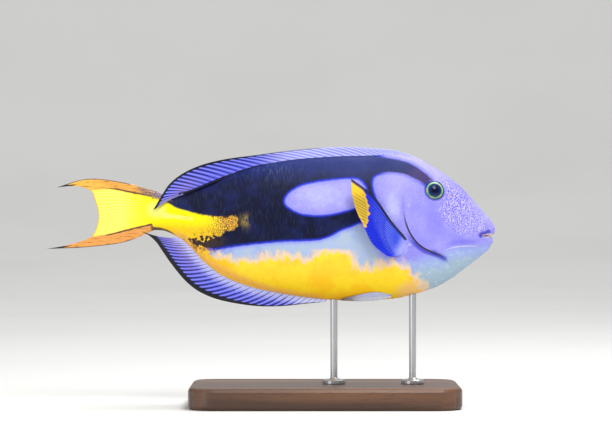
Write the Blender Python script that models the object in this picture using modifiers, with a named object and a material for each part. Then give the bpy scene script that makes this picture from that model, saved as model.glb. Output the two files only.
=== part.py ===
"""A life-size museum model of a regal blue tang, swimming, on a plain display stand.

Metres, +Z up. The fish faces +X and its right side faces -Y. Its own frame has x and z from the
middle of its length, and an empty lifts that frame to AXIS_HEIGHT over the floor.
"""

import math

import bmesh
import bpy
import numpy as np
from mathutils import Matrix, Vector

# Driving dimensions of the whole model.
AXIS_HEIGHT = 0.100  # the fish's own axis over the floor
TOUCH_GAP = 0.00034  # left between pieces that touch
COLUMNS = 44  # points around the body
DENSE_ANGLE, DENSE_SPREAD = math.radians(111), math.radians(17)  # where they stand closer
DENSE_SHARE = 1.7

# The body from the mouth to the tail root, a section in each row: x and z on the back, x and z
# on the belly, half width, how far the sides lie behind the middle, and how pinched the section
# is, where 1 is an ellipse and more is sharper along the back and belly.
STATIONS = (
    (0.1200, -0.0052, 0.1200, -0.0052, 0.0000, 0.0000, 1.00),  # throat, inside the mouth
    (0.1222, -0.0048, 0.1217, -0.0057, 0.0026, 0.0036, 1.00),  # mouth lining
    (0.1243, -0.0042, 0.1231, -0.0064, 0.0040, 0.0066, 1.00),  # inner edge of the lips
    (0.1249, -0.0022, 0.1238, -0.0082, 0.0050, 0.0072, 1.00),  # lips
    (0.1243, 0.0005, 0.1228, -0.0106, 0.0050, 0.0068, 1.02),  # behind the lips
    (0.1222, 0.0040, 0.1211, -0.0134, 0.0060, 0.0056, 1.05),
    (0.1189, 0.0076, 0.1180, -0.0162, 0.0070, 0.0042, 1.08),
    (0.1138, 0.0133, 0.1133, -0.0199, 0.0087, 0.0024, 1.12),  # snout
    (0.1077, 0.0201, 0.1071, -0.0246, 0.0104, 0.0010, 1.16),
    (0.0999, 0.0268, 0.0993, -0.0302, 0.0119, 0.0003, 1.20),  # nostrils
    (0.0910, 0.0327, 0.0910, -0.0346, 0.0130, 0.0000, 1.22),  # eye
    (0.0804, 0.0381, 0.0804, -0.0379, 0.0139, 0.0000, 1.24),  # gill cover
    (0.0692, 0.0403, 0.0692, -0.0405, 0.0144, 0.0000, 1.25),  # nape
    (0.0552, 0.0395, 0.0552, -0.0413, 0.0146, 0.0000, 1.25),
    (0.0385, 0.0391, 0.0385, -0.0415, 0.0143, 0.0000, 1.25),  # vent
    (0.0218, 0.0381, 0.0218, -0.0402, 0.0136, 0.0000, 1.25),
    (0.0050, 0.0362, 0.0050, -0.0376, 0.0124, 0.0000, 1.25),
    (-0.0117, 0.0323, -0.0117, -0.0340, 0.0107, 0.0000, 1.25),
    (-0.0257, 0.0275, -0.0257, -0.0286, 0.0088, 0.0000, 1.25),
    (-0.0368, 0.0227, -0.0368, -0.0206, 0.0070, 0.0000, 1.22),
    (-0.0452, 0.0192, -0.0452, -0.0117, 0.0055, 0.0000, 1.18),
    (-0.0519, 0.0175, -0.0519, -0.0063, 0.0045, 0.0000, 1.12),
    (-0.0586, 0.0176, -0.0586, -0.0030, 0.0037, 0.0000, 1.05),  # peduncle
    (-0.0672, 0.0201, -0.0672, -0.0022, 0.0015, 0.0000, 0.90),  # tail root
)
MOUTH_ROWS = (1, 1.6, 2, 2.35, 2.7, 3, 3.4, 4, 5)  # stations of the rings round the mouth
HEAD_RINGS, TRUNK_RINGS, TAIL_RINGS = 14, 17, 9
TAIL_CUT_X = -0.0400  # where the tail begins

# The rear edge of the gill cover, which parts the head from the trunk, from nape to throat.
GILL_EDGE = (
    (0.0748, 0.0424),
    (0.0742, 0.0285),
    (0.0738, 0.0145),
    (0.0740, 0.0061),
    (0.0753, 0.0006),
    (0.0778, -0.0047),
    (0.0809, -0.0089),
    (0.0848, -0.0120),
    (0.0893, -0.0141),
    (0.0938, -0.0160),
    (0.0977, -0.0190),
    (0.0999, -0.0246),
    (0.1010, -0.0357),
)
GILL_TOP_Z, GILL_BOTTOM_Z = 0.0150, -0.0190  # the open length of that edge
COVER_RISE, COVER_SPREAD = 0.0006, 0.0090  # the cover swells out towards its edge
TROUGH_SINK, TROUGH_SPREAD = 0.0006, 0.0045  # and the skin behind it lies lower

EYE_X, EYE_Z = 0.0907, 0.0197
EYE_RADIUS, EYE_DEPTH = 0.0061, 0.0040
EYE_SUNK = 0.0023  # the ball's middle under the skin
EYE_AXIS = Vector((0.14, 1.0, 0.20)).normalized()  # of the left eye
BROW_RISE, BROW_SPREAD = 0.0009, 0.0085
ORBIT_RADIUS, ORBIT_DEPTH, ORBIT_SUNK = 0.0079, 0.0026, 0.0019  # the swelling round it

NOSTRILS = ((0.0985, 0.0192, 0.0006), (0.1003, 0.0170, 0.00045))  # x, z and radius
NOSTRIL_DEPTH = 0.0014
TEETH_PER_JAW = 7
TOOTH_SPREAD = math.radians(62)  # of the row, to each side
TOOTH_RADIUS, TOOTH_HEIGHT = 0.00055, 0.0009

# Fin rays that guide the rest, from front to rear: x at the root, x and z at the tip, and how
# far the tip hangs to the fish's right.
DORSAL_GUIDES = (
    (0.0748, 0.0731, 0.0412, 0.0000),
    (0.0720, 0.0664, 0.0426, 0.0000),
    (0.0664, 0.0564, 0.0434, 0.0000),
    (0.0580, 0.0430, 0.0441, 0.0000),
    (0.0441, 0.0262, 0.0435, 0.0000),
    (0.0273, 0.0089, 0.0419, 0.0000),
    (0.0106, -0.0084, 0.0396, 0.0001),
    (-0.0061, -0.0257, 0.0373, 0.0003),
    (-0.0201, -0.0396, 0.0338, 0.0006),
    (-0.0324, -0.0502, 0.0287, 0.0012),
    (-0.0418, -0.0572, 0.0227, 0.0024),
    (-0.0474, -0.0614, 0.0160, 0.0038),
    (-0.0505, -0.0657, 0.0087, 0.0047),
)
DORSAL_SPINES, DORSAL_RAYS = 9, 19
ANAL_GUIDES = (
    (0.0316, 0.0300, -0.0424, 0.0000),
    (0.0250, 0.0195, -0.0433, 0.0000),
    (0.0170, 0.0075, -0.0446, 0.0000),
    (0.0080, -0.0060, -0.0448, 0.0000),
    (-0.0010, -0.0195, -0.0432, 0.0000),
    (-0.0106, -0.0318, -0.0403, 0.0000),
    (-0.0195, -0.0413, -0.0359, 0.0000),
    (-0.0273, -0.0480, -0.0304, 0.0000),
    (-0.0335, -0.0530, -0.0246, 0.0001),
    (-0.0380, -0.0572, -0.0190, 0.0003),
    (-0.0419, -0.0608, -0.0137, 0.0006),
    (-0.0452, -0.0642, -0.0088, 0.0012),
    (-0.0483, -0.0681, -0.0052, 0.0020),
    (-0.0505, -0.0720, -0.0031, 0.0026),
)
ANAL_SPINES, ANAL_RAYS = 3, 18
# Thickness of each kind of fin at its root and at its edge, and how far a ray stands proud.
MEDIAN_THICKNESS = 0.0018, 0.0006, 0.00034
CAUDAL_THICKNESS = 0.0024, 0.0006, 0.00034
PECTORAL_THICKNESS = 0.0022, 0.0006, 0.00030
PELVIC_THICKNESS = 0.0014, 0.0006, 0.00020

ROOT_LEAN = 0.25  # the share of a tip's sideways hang that its root has
ROOT_LIFT = 0.12  # and how much higher the dorsal fin's root sits for it
FOLD_CLEARANCE = 0.0012  # between the tail's skin and the middle of the dorsal fin's folded tip
DORSAL_SAG, ANAL_SAG = -0.02, 0.055  # how far a ray bends down, as a share of its length

# Tail fin rays from the upper edge to the lower: z at the root, then three points out to the tip.
CAUDAL_GUIDES = (
    (0.0199, -0.0831, 0.0244, -0.1027, 0.0263, -0.1194, 0.0216),
    (0.0183, -0.0815, 0.0222, -0.0965, 0.0238, -0.1099, 0.0223),
    (0.0163, -0.0785, 0.0186, -0.0898, 0.0205, -0.1010, 0.0199),
    (0.0128, -0.0770, 0.0134, -0.0876, 0.0139, -0.0981, 0.0134),
    (0.0086, -0.0770, 0.0081, -0.0865, 0.0073, -0.0963, 0.0061),
    (0.0047, -0.0775, 0.0033, -0.0876, 0.0011, -0.0975, -0.0008),
    (0.0014, -0.0787, -0.0014, -0.0898, -0.0042, -0.1007, -0.0061),
    (-0.0008, -0.0798, -0.0053, -0.0960, -0.0085, -0.1133, -0.0106),
    (-0.0020, -0.0798, -0.0084, -0.0999, -0.0115, -0.1250, -0.0127),
)
CAUDAL_LOBE_EDGES = 2, 6  # the guides where the two lobes meet the middle of the fin
CAUDAL_LOBE_RAYS, CAUDAL_MIDDLE_RAYS = 5, 8
CAUDAL_PART = 0.065  # half of the thin gap there, counted in guides

# Pectoral rays from the leading edge to the lowest: x and z at the root, and out to the tip.
PECTORAL_GUIDES = (
    (0.0765, -0.0084, 0.0670, 0.0025, 0.0569, 0.0165, 0.0443, 0.0263),
    (0.0756, -0.0106, 0.0650, -0.0010, 0.0540, 0.0103, 0.0450, 0.0161),
    (0.0746, -0.0124, 0.0650, -0.0053, 0.0558, 0.0028, 0.0477, 0.0073),
    (0.0735, -0.0140, 0.0660, -0.0095, 0.0587, -0.0045, 0.0523, -0.0025),
    (0.0722, -0.0152, 0.0674, -0.0134, 0.0619, -0.0114, 0.0563, -0.0100),
    (0.0709, -0.0160, 0.0687, -0.0163, 0.0665, -0.0166, 0.0642, -0.0165),
)
PECTORAL_RAYS = 14
PECTORAL_SINK = 0.0012  # of the root, before it is trimmed to the flank
PECTORAL_STANDOFF = (0.0024, 0.0062, 0.0110)  # from the flank, along the longest ray

PELVIC_ROOT_X, PELVIC_TIP_X = 0.0668, 0.0388
PELVIC_ANGLES = (math.radians(151), math.radians(173))  # its two edges round the belly
PELVIC_TIP_ANGLE = math.radians(163)
PELVIC_RAYS = 4
PELVIC_LIFT = 0.0008  # how far the tip stands off the belly

SPINE_REAR, SPINE_TIP = (-0.0497, 0.0054), (-0.0437, 0.0038)  # x and z of the tail's folded spine
SPINE_HEIGHT, SPINE_THICKNESS, SPINE_POINT = 0.0014, 0.0012, 0.2  # and how much of it the point is
SPINE_OUT = 0.0003  # its middle over the skin

BASE_LENGTH, BASE_WIDTH, BASE_HEIGHT = 0.150, 0.088, 0.012
BASE_X = 0.030
BASE_CORNER, BASE_EDGE = 0.014, 0.002
ROD_RADIUS, ROD_FOOT_RADIUS, ROD_FOOT_HEIGHT = 0.0020, 0.0065, 0.0022
ROD_X = {"front": 0.0790, "rear": 0.0351}
ROD_REACH = 0.004  # into the belly, before it is trimmed


def clear_scene():
    for obj in list(bpy.data.objects):
        bpy.data.objects.remove(obj)


def material(name, colour, roughness, metallic=0.0):
    made = bpy.data.materials.new(name)
    made.use_nodes = True
    shader = made.node_tree.nodes["Principled BSDF"]
    shader.inputs["Base Color"].default_value = (*colour, 1.0)
    shader.inputs["Roughness"].default_value = roughness
    shader.inputs["Metallic"].default_value = metallic
    return made


def through(points, at):
    """Places on a smooth curve through the points, counted in points from 0."""
    points = np.asarray(points, float)
    gaps = np.diff(points, axis=0)
    flat = gaps.reshape(len(gaps), -1)
    steps = np.sqrt(np.linalg.norm(flat, axis=1)).reshape((-1,) + (1,) * (points.ndim - 1))
    slopes = gaps / steps
    inner = (slopes[:-1] * steps[1:] + slopes[1:] * steps[:-1]) / (steps[:-1] + steps[1:])
    tangents = np.concatenate([slopes[:1], inner, slopes[-1:]])
    at = np.clip(np.asarray(at, float), 0, len(points) - 1)
    first = np.minimum(at.astype(int), len(points) - 2)
    share = (at - first).reshape(at.shape + (1,) * (points.ndim - 1))
    run = steps[first]
    rest = 1 - share
    return (
        (1 + 2 * share) * rest**2 * points[first]
        + share * rest**2 * run * tangents[first]
        + share**2 * (3 - 2 * share) * points[first + 1]
        - share**2 * rest * run * tangents[first + 1]
    )


def smooth_step(low, high, value):
    share = np.clip((value - low) / (high - low), 0, 1)
    return share * share * (3 - 2 * share)


def gill_distance(x, z):
    """How far a place seen from the side lies ahead of the gill cover's edge."""
    edge = through(GILL_EDGE, np.linspace(0, len(GILL_EDGE) - 1, 73))
    start, run = edge[:-1], np.diff(edge, axis=0)
    place = np.stack([x, z], axis=-1)[..., None, :]
    share = ((place - start) * run).sum(-1) / (run * run).sum(-1)
    nearest = start + np.clip(share, 0, 1)[..., None] * run
    distance = np.linalg.norm(place - nearest, axis=-1).min(-1)
    return np.where(x > np.interp(z, edge[::-1, 1], edge[::-1, 0]), distance, -distance)


def relief(x, z, behind_gill):
    """How far the skin stands out sideways beyond the plain section."""
    from_eye = (x - EYE_X) ** 2 + (z - EYE_Z) ** 2
    brow = BROW_RISE * np.exp(-from_eye / BROW_SPREAD**2)
    from_gill = gill_distance(x, z)
    fade = 0.004
    open_length = smooth_step(GILL_BOTTOM_Z - fade, GILL_BOTTOM_Z + fade, z) * (
        1 - smooth_step(GILL_TOP_Z - fade, GILL_TOP_Z + fade, z)
    )
    if behind_gill:
        edge = -TROUGH_SINK * np.exp(-((from_gill / TROUGH_SPREAD) ** 2))
    else:
        edge = COVER_RISE * np.exp(-((from_gill / COVER_SPREAD) ** 2))
    return brow + edge * open_length


def body_points(at, angle, behind_gill=False, grow=0.0):
    """Points of the skin at stations and at angles round the body from the back, 0, to the belly."""
    at, angle = np.broadcast_arrays(np.asarray(at, float), np.asarray(angle, float))
    back_x, back_z, belly_x, belly_z, width, bow, pinch = np.moveaxis(through(STATIONS, at), -1, 0)
    rise, side = np.cos(angle), np.sin(angle)
    across = np.sign(side) * np.abs(side) ** pinch
    x = (back_x + belly_x) / 2 + (back_x - belly_x) / 2 * rise - bow * side**2
    z = (back_z + belly_z) / 2 + ((back_z - belly_z) / 2 + grow) * rise
    width = width + np.where(width > 0, grow, 0)
    if grow == 0:
        width = width + relief(x, z, behind_gill) * smooth_step(0, 0.5, np.abs(side)) * (at > 4)
    return np.stack([x, width * across, z], axis=-1)


def station_at(x):
    """The station whose section crosses the axis at x, anywhere behind the mouth."""
    stations = np.linspace(5, len(STATIONS) - 1, 600)
    rows = through(STATIONS, stations)
    return np.interp(-np.asarray(x, float), -(rows[:, 0] + rows[:, 2]) / 2, stations)


def flank(x, z, grow=0.0):
    """Half the body's width at a place seen from the side, behind the gills."""
    _, back, _, belly, width, _, pinch = np.moveaxis(through(STATIONS, station_at(x)), -1, 0)
    level = np.clip((z - (back + belly) / 2) / ((back - belly) / 2 + grow), -1, 1)
    return (width + grow) * (1 - level**2) ** (pinch / 2)


def back_z(x):
    return through(STATIONS, station_at(x))[..., 1]


def belly_z(x):
    return through(STATIONS, station_at(x))[..., 3]


def gill_stations(angles, ahead):
    """For each angle, the station that lies this far ahead of the gill cover's edge."""
    stations = np.linspace(7.5, 13.5, 240)
    found = []
    for angle in angles:
        points = body_points(stations, angle, grow=1e-9)
        found.append(np.interp(-ahead, -gill_distance(points[:, 0], points[:, 2]), stations))
    return np.array(found)


def ring_angles():
    """Angles round the body, closer together where the gill cover's edge runs forward."""
    angles = np.linspace(0, math.pi, 721)
    density = 1 + DENSE_SHARE * np.exp(-(((angles - DENSE_ANGLE) / DENSE_SPREAD) ** 2))
    count = np.concatenate([[0], np.cumsum((density[1:] + density[:-1]) / 2)])
    half = np.interp(np.arange(COLUMNS // 2 + 1) * count[-1] / (COLUMNS // 2), count, angles)
    return np.concatenate([half, 2 * math.pi - half[-2:0:-1]])


def loft(rings):
    """A closed mesh through rings of points. A ring of one point is a pole, and any other end is
    closed by a ladder of faces from side to side."""
    shell = bmesh.new()
    made = [[shell.verts.new(point) for point in ring] for ring in rings]
    count = COLUMNS

    def corner(ring, i):
        return ring[0] if len(ring) == 1 else ring[i % count]

    for first, second in zip(made, made[1:]):
        for i in range(count):
            face = [corner(first, i), corner(first, i + 1), corner(second, i + 1), corner(second, i)]
            shell.faces.new(list(dict.fromkeys(face)))
    for end in (made[0], made[-1]):
        for i in range(count // 2) if len(end) > 1 else ():
            rung = [end[i], end[i + 1], end[-i - 1], end[-i % count]]
            shell.faces.new(list(dict.fromkeys(rung)))
    bmesh.ops.recalc_face_normals(shell, faces=shell.faces)
    mesh = bpy.data.meshes.new("loft")
    shell.to_mesh(mesh)
    shell.free()
    return mesh


def head_rings():
    angles = ring_angles()
    rings = [body_points(0, angles[:1])]
    rings += [body_points(at, angles) for at in MOUTH_ROWS]
    start, edge = MOUTH_ROWS[-1], gill_stations(angles, TOUCH_GAP / 2)
    for share in np.linspace(0, 1, HEAD_RINGS + 1)[1:]:
        rings.append(body_points(start + (edge - start) * share, angles))
    return rings


def trunk_rings():
    angles = ring_angles()
    edge = gill_stations(angles, -TOUCH_GAP / 2)
    end = station_at(TAIL_CUT_X + TOUCH_GAP / 2)
    shares = np.linspace(0, 1, TRUNK_RINGS + 1)
    return [body_points(edge + (end - edge) * share, angles, behind_gill=True) for share in shares]


def tail_rings():
    angles = ring_angles()
    start = station_at(TAIL_CUT_X - TOUCH_GAP / 2)
    stations = np.linspace(start, len(STATIONS) - 1, TAIL_RINGS + 1)
    return [body_points(at, angles, behind_gill=True) for at in stations]


def grown_trunk_rings():
    """The trunk with the touching gap added all round, to trim what stands on it."""
    angles = ring_angles()
    stations = np.linspace(8, station_at(TAIL_CUT_X), 30)
    return [body_points(at, angles, grow=TOUCH_GAP) for at in stations]


def add(name, mesh, finish, parent=None, smooth=True):
    obj = bpy.data.objects.new(name, mesh)
    mesh.name = name
    if not mesh.materials:
        mesh.materials.append(finish)
    if smooth:
        mesh.shade_smooth()
        mesh.set_sharp_from_angle(angle=math.radians(40))
    bpy.data.collections["regal_blue_tang"].objects.link(obj)
    obj.parent = parent
    return obj


def helper(name, mesh, collection, parent):
    """A cutter or a piece to be fused, which is no part by itself."""
    obj = bpy.data.objects.new(name, mesh)
    bpy.data.collections[collection].objects.link(obj)
    obj.parent = parent
    obj.hide_render = True
    obj.display_type = "WIRE"
    return obj


def largest_surface(mesh):
    """Leaves only the closed surface with the most corners."""
    shell = bmesh.new()
    shell.from_mesh(mesh)
    left, groups = set(shell.verts), []
    while left:
        group, edge = set(), {left.pop()}
        while edge:
            group |= edge
            edge = {e.other_vert(v) for v in edge for e in v.link_edges} - group
        left -= group
        groups.append(group)
    keep = max(groups, key=len)
    bmesh.ops.delete(shell, geom=[v for v in shell.verts if v not in keep], context="VERTS")
    bmesh.ops.triangulate(shell, faces=shell.faces)
    shell.to_mesh(mesh)
    shell.free()


def combine(obj, operation, others):
    """Joins other closed objects to this one, or cuts them out of it, and applies that."""
    group = bpy.data.collections.new(operation)
    bpy.context.scene.collection.children.link(group)
    for other in others:
        group.objects.link(other)
    boolean = obj.modifiers.new(operation.lower(), "BOOLEAN")
    boolean.operation = operation
    boolean.operand_type = "COLLECTION"
    boolean.collection = group
    bpy.context.view_layer.update()
    graph = bpy.context.evaluated_depsgraph_get()
    mesh = bpy.data.meshes.new_from_object(obj.evaluated_get(graph))
    obj.modifiers.clear()
    largest_surface(mesh)
    mesh.name = obj.name
    obj.data = mesh
    bpy.data.collections.remove(group)


def remove(objects):
    for obj in objects:
        bpy.data.objects.remove(obj)


def eye_frame(side, sunk):
    """A matrix whose +Z is the eye's axis, with its origin this far under the skin."""
    at = 10.03
    angles = np.linspace(0.4, 1.5, 400)
    skin = body_points(at, angles)
    height = np.interp(-EYE_Z, -skin[:, 2], skin[:, 1])
    axis = Vector((EYE_AXIS.x, EYE_AXIS.y * side, EYE_AXIS.z))
    middle = Vector((EYE_X, height * side, EYE_Z)) - axis * sunk
    return Matrix.Translation(middle) @ axis.to_track_quat("Z", "Y").to_matrix().to_4x4()


def flat_ball(wide, deep):
    """A flattened ball about the origin, with its axis along Z."""
    shell = bmesh.new()
    bmesh.ops.create_uvsphere(shell, u_segments=22, v_segments=12, radius=1)
    bmesh.ops.scale(shell, vec=(wide, wide, deep), verts=shell.verts)
    mesh = bpy.data.meshes.new("ball")
    shell.to_mesh(mesh)
    shell.free()
    return mesh


def cone_mesh(wide, narrow, length, sides):
    """A cone along +Z from the origin."""
    shell = bmesh.new()
    bmesh.ops.create_cone(
        shell, cap_ends=True, segments=sides, radius1=wide, radius2=narrow, depth=length
    )
    bmesh.ops.translate(shell, vec=(0, 0, length / 2), verts=shell.verts)
    mesh = bpy.data.meshes.new("cone")
    shell.to_mesh(mesh)
    shell.free()
    return mesh


def skin_place(x, z, side):
    """The skin's point and outward direction at a place on the head seen from the side."""
    stations = np.linspace(5, 12, 420)
    angles = np.linspace(0.2, 2.9, 420)
    grid = body_points(stations[:, None], angles[None, :])
    from_place = np.hypot(grid[..., 0] - x, grid[..., 2] - z)
    i, j = np.unravel_index(from_place.argmin(), from_place.shape)
    i, j = min(max(i, 1), 418), min(max(j, 1), 418)
    along, round_it = grid[i + 1, j] - grid[i - 1, j], grid[i, j + 1] - grid[i, j - 1]
    out = Vector(np.cross(along, round_it)).normalized()
    out = out if out.y > 0 else -out
    place = Vector(grid[i, j])
    place.y *= side
    out.y *= side
    return place, out


def orbits_and_teeth(fish):
    """The swelling round each eye and the small teeth, which are fused to the head."""
    made = []
    for side in (1, -1):
        orbit = helper("orbit", flat_ball(ORBIT_RADIUS, ORBIT_DEPTH), "cutters", fish)
        orbit.matrix_basis = eye_frame(side, ORBIT_SUNK)
        made.append(orbit)
    for jaw, middle in ((1, 0.0), (-1, math.pi)):
        for i in range(TEETH_PER_JAW):
            angle = middle + (2 * i / (TEETH_PER_JAW - 1) - 1) * TOOTH_SPREAD
            root = Vector(body_points(2.15, angle)) + Vector((-0.0002, 0, jaw * 0.0005))
            crown = cone_mesh(TOOTH_RADIUS, TOOTH_RADIUS / 2, TOOTH_HEIGHT, 5)
            tooth = helper("tooth", crown, "cutters", fish)
            tooth.matrix_basis = Matrix.Translation(root) @ Matrix.Rotation(math.pi * (jaw > 0), 4, "X")
            made.append(tooth)
    return made


def head_cutters(fish):
    """The eye sockets and nostrils."""
    made = []
    for side in (1, -1):
        ball = flat_ball(EYE_RADIUS + TOUCH_GAP, EYE_DEPTH + TOUCH_GAP)
        socket = helper("socket", ball, "cutters", fish)
        socket.matrix_basis = eye_frame(side, EYE_SUNK)
        made.append(socket)
        for x, z, radius in NOSTRILS:
            place, out = skin_place(x, z, side)
            funnel = cone_mesh(radius * 0.6, radius * 1.3, NOSTRIL_DEPTH * 2, 8)
            pit = helper("nostril", funnel, "cutters", fish)
            turn = out.to_track_quat("Z", "Y").to_matrix().to_4x4()
            pit.matrix_basis = Matrix.Translation(place - out * NOSTRIL_DEPTH) @ turn
            made.append(pit)
    return made


def fin_mesh(guides, rays, rows, thickness):
    """A fin's middle sheet, with its thickness in the corners' weights: a ridge along each ray
    and valleys between them. The guides are rays of a few points each."""
    root, edge, proud = thickness
    columns = 2 * rays
    shares = np.linspace(0, 1, columns + 1)
    reach = 1 - (1 - np.linspace(0, 1, rows + 1)) ** 1.35
    across = through(guides, shares * (len(guides) - 1))
    points = np.stack([through(ray, reach * (guides.shape[1] - 1)) for ray in across])
    shell = bmesh.new()
    bmesh.ops.create_grid(shell, x_segments=columns, y_segments=rows, size=1)
    weights = shell.verts.layers.deform.new()
    for vert in shell.verts:
        i = round((vert.co.x + 1) / 2 * columns)
        j = round((vert.co.y + 1) / 2 * rows)
        taper = reach[j]
        on_ray = i % 2 and 2 * proud * math.sin(math.pi * (0.15 + 0.8 * taper))
        vert[weights][0] = (edge + (root - edge) * (1 - taper) ** 2.2 + on_ray) / root
        vert.co = points[i, j]
    bmesh.ops.triangulate(shell, faces=shell.faces, quad_method="FIXED")
    mesh = bpy.data.meshes.new("fin")
    shell.to_mesh(mesh)
    shell.free()
    return mesh


def add_fin(name, guides, finish, fish, rays, rows, thickness):
    fin = add(name, fin_mesh(guides, rays, rows, thickness), finish, fish)
    fin.vertex_groups.new(name="thickness")
    walls = fin.modifiers.new("walls", "SOLIDIFY")
    walls.thickness = thickness[0]
    walls.offset = 0
    walls.vertex_group = "thickness"
    return fin


def beside_tail(x, z):
    """How far to the side a fin that folds down past the back's ridge has to lie."""
    below = 1 - smooth_step(0, 0.0009, z - back_z(x))
    return below * flank(x, z, grow=FOLD_CLEARANCE)


def median_guides(table, root_z, sag):
    """Rays of a fin that stands on the body's middle line."""
    x, tip_x, tip_z, hang = np.array(table).T
    root = np.stack([x, -ROOT_LEAN * hang, root_z(x) + ROOT_LIFT * hang * (tip_z > 0)], axis=1)
    tip = np.stack([tip_x, -hang, tip_z], axis=1)
    length = np.linalg.norm(tip - root, axis=1)
    rays = []
    for share in (0, 0.12, 0.35, 0.67, 1):
        place = root + (tip - root) * share
        swing = 1 - (1 - share) ** 3
        place[:, 1] = root[:, 1] + (tip[:, 1] - root[:, 1]) * swing
        place[:, 2] -= sag * length * 4 * share * (1 - share)
        folded = (place[:, 2] > 0) & (hang > 0.001)
        place[folded, 1] = np.minimum(place[folded, 1], -beside_tail(place[folded, 0], place[folded, 2]))
        rays.append(place)
    return np.stack(rays, axis=1)


def caudal_guides():
    table = np.array(CAUDAL_GUIDES)
    root_x = STATIONS[-1][0] - TOUCH_GAP
    rays = [np.stack([np.full(len(table), root_x), table[:, 0] * 0, table[:, 0]], axis=1)]
    for column in (1, 3, 5):
        rays.append(np.stack([table[:, column], table[:, 0] * 0, table[:, column + 1]], axis=1))
    return np.stack(rays, axis=1)


def lobe_guides(low, high):
    """The tail fin's rays between two places counted in guides."""
    return through(caudal_guides(), np.linspace(low, high, 7))


def pectoral_guides(side):
    table = np.array(PECTORAL_GUIDES)
    longest = np.hypot(table[0, 6] - table[0, 0], table[0, 7] - table[0, 1])
    length = np.hypot(table[:, 6] - table[:, 0], table[:, 7] - table[:, 1])
    share = (0.35 + 0.65 * length / longest)[:, None]
    standoff = np.hstack([np.full_like(share, -PECTORAL_SINK), share * np.array(PECTORAL_STANDOFF)])
    x, z = table[:, 0::2], table[:, 1::2]
    return np.stack([x, side * (flank(x, z) + standoff), z], axis=-1)


def pelvic_guides(side):
    """Rays that lie back along the belly."""
    low, high = PELVIC_ANGLES
    clear = TOUCH_GAP + PELVIC_THICKNESS[0] / 2
    rays = []
    for edge in np.linspace(0, 1, 4):
        x = PELVIC_ROOT_X + (PELVIC_TIP_X - PELVIC_ROOT_X) * np.array([0, 0.3, 0.7, 1])
        wide = np.array([0.35, 1.0, 0.7, 0.12])
        angle = PELVIC_TIP_ANGLE + (low + (high - low) * edge - PELVIC_TIP_ANGLE) * wide
        skin = body_points(station_at(x), angle)
        near = body_points(station_at(x), angle, grow=0.001)
        out = near - body_points(station_at(x), angle, grow=1e-9)
        out /= np.linalg.norm(out, axis=1)[:, None]
        lift = clear + PELVIC_LIFT * np.array([0, 0.05, 0.5, 1])
        place = skin + out * lift[:, None]
        place[:, 1] *= side
        rays.append(place)
    return np.stack(rays)


def build_flesh(fish, finish):
    head = add("head", loft(head_rings()), finish, fish)
    fused = orbits_and_teeth(fish)
    combine(head, "UNION", fused)
    cutters = head_cutters(fish)
    combine(head, "DIFFERENCE", cutters)
    remove(fused + cutters)
    add("trunk", loft(trunk_rings()), finish, fish)
    tail = add("tail", loft(tail_rings()), finish, fish)
    grooves = [spine(side, TOUCH_GAP, fish) for side in (1, -1)]
    combine(tail, "DIFFERENCE", grooves)
    remove(grooves)


def spine_mesh(grow):
    """The tail's folded spine, a flattened cone with its point forward."""
    reach = Vector((SPINE_TIP[0] - SPINE_REAR[0], 0, SPINE_TIP[1] - SPINE_REAR[1])).length
    across, up = SPINE_THICKNESS / 2 + grow, SPINE_HEIGHT / 2 + grow
    point = (SPINE_POINT * SPINE_THICKNESS / 2 + grow) / across
    mesh = cone_mesh(1, point, reach + 2 * grow, 8)
    mesh.transform(Matrix.Diagonal((across, up, 1, 1)))
    mesh.transform(Matrix.Translation((0, 0, -grow)))
    return mesh


def spine_frame(side):
    rear_y = flank(SPINE_REAR[0], SPINE_REAR[1]) + SPINE_OUT
    tip_y = flank(SPINE_TIP[0], SPINE_TIP[1]) + SPINE_OUT
    rear = Vector((SPINE_REAR[0], side * rear_y, SPINE_REAR[1]))
    tip = Vector((SPINE_TIP[0], side * tip_y, SPINE_TIP[1]))
    along = (tip - rear).normalized()
    across = Vector((0, 1, 0)) - along * along.y
    across.normalize()
    up = along.cross(across)
    turn = Matrix((across, up, along)).transposed().to_4x4()
    return Matrix.Translation(rear) @ turn


def spine(side, grow, fish):
    made = helper("groove", spine_mesh(grow), "cutters", fish)
    made.matrix_basis = spine_frame(side)
    return made


def build_eyes(fish, finish):
    for name, side in (("left", 1), ("right", -1)):
        eye = add(f"eye_{name}", flat_ball(EYE_RADIUS, EYE_DEPTH), finish, fish)
        eye.matrix_basis = eye_frame(side, EYE_SUNK)


def build_spines(fish, finish):
    for name, side in (("left", 1), ("right", -1)):
        made = add(f"tail_spine_{name}", spine_mesh(0), finish, fish)
        made.matrix_basis = spine_frame(side)


def build_median_fins(fish, finish, tail_finish):
    dorsal = median_guides(DORSAL_GUIDES, lambda x: back_z(x) + TOUCH_GAP, DORSAL_SAG)
    add_fin("dorsal_fin", dorsal, finish, fish, DORSAL_SPINES + DORSAL_RAYS, 6, MEDIAN_THICKNESS)
    anal = median_guides(ANAL_GUIDES, lambda x: belly_z(x) - TOUCH_GAP, ANAL_SAG)
    add_fin("anal_fin", anal, finish, fish, ANAL_SPINES + ANAL_RAYS, 6, MEDIAN_THICKNESS)
    high, low = CAUDAL_LOBE_EDGES
    pieces = (
        ("upper_lobe", 0, high - CAUDAL_PART, CAUDAL_LOBE_RAYS),
        ("middle", high + CAUDAL_PART, low - CAUDAL_PART, CAUDAL_MIDDLE_RAYS),
        ("lower_lobe", low + CAUDAL_PART, len(CAUDAL_GUIDES) - 1, CAUDAL_LOBE_RAYS),
    )
    for name, first, last, rays in pieces:
        guides = lobe_guides(first, last)
        add_fin(f"tail_fin_{name}", guides, tail_finish, fish, rays, 8, CAUDAL_THICKNESS)


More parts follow.
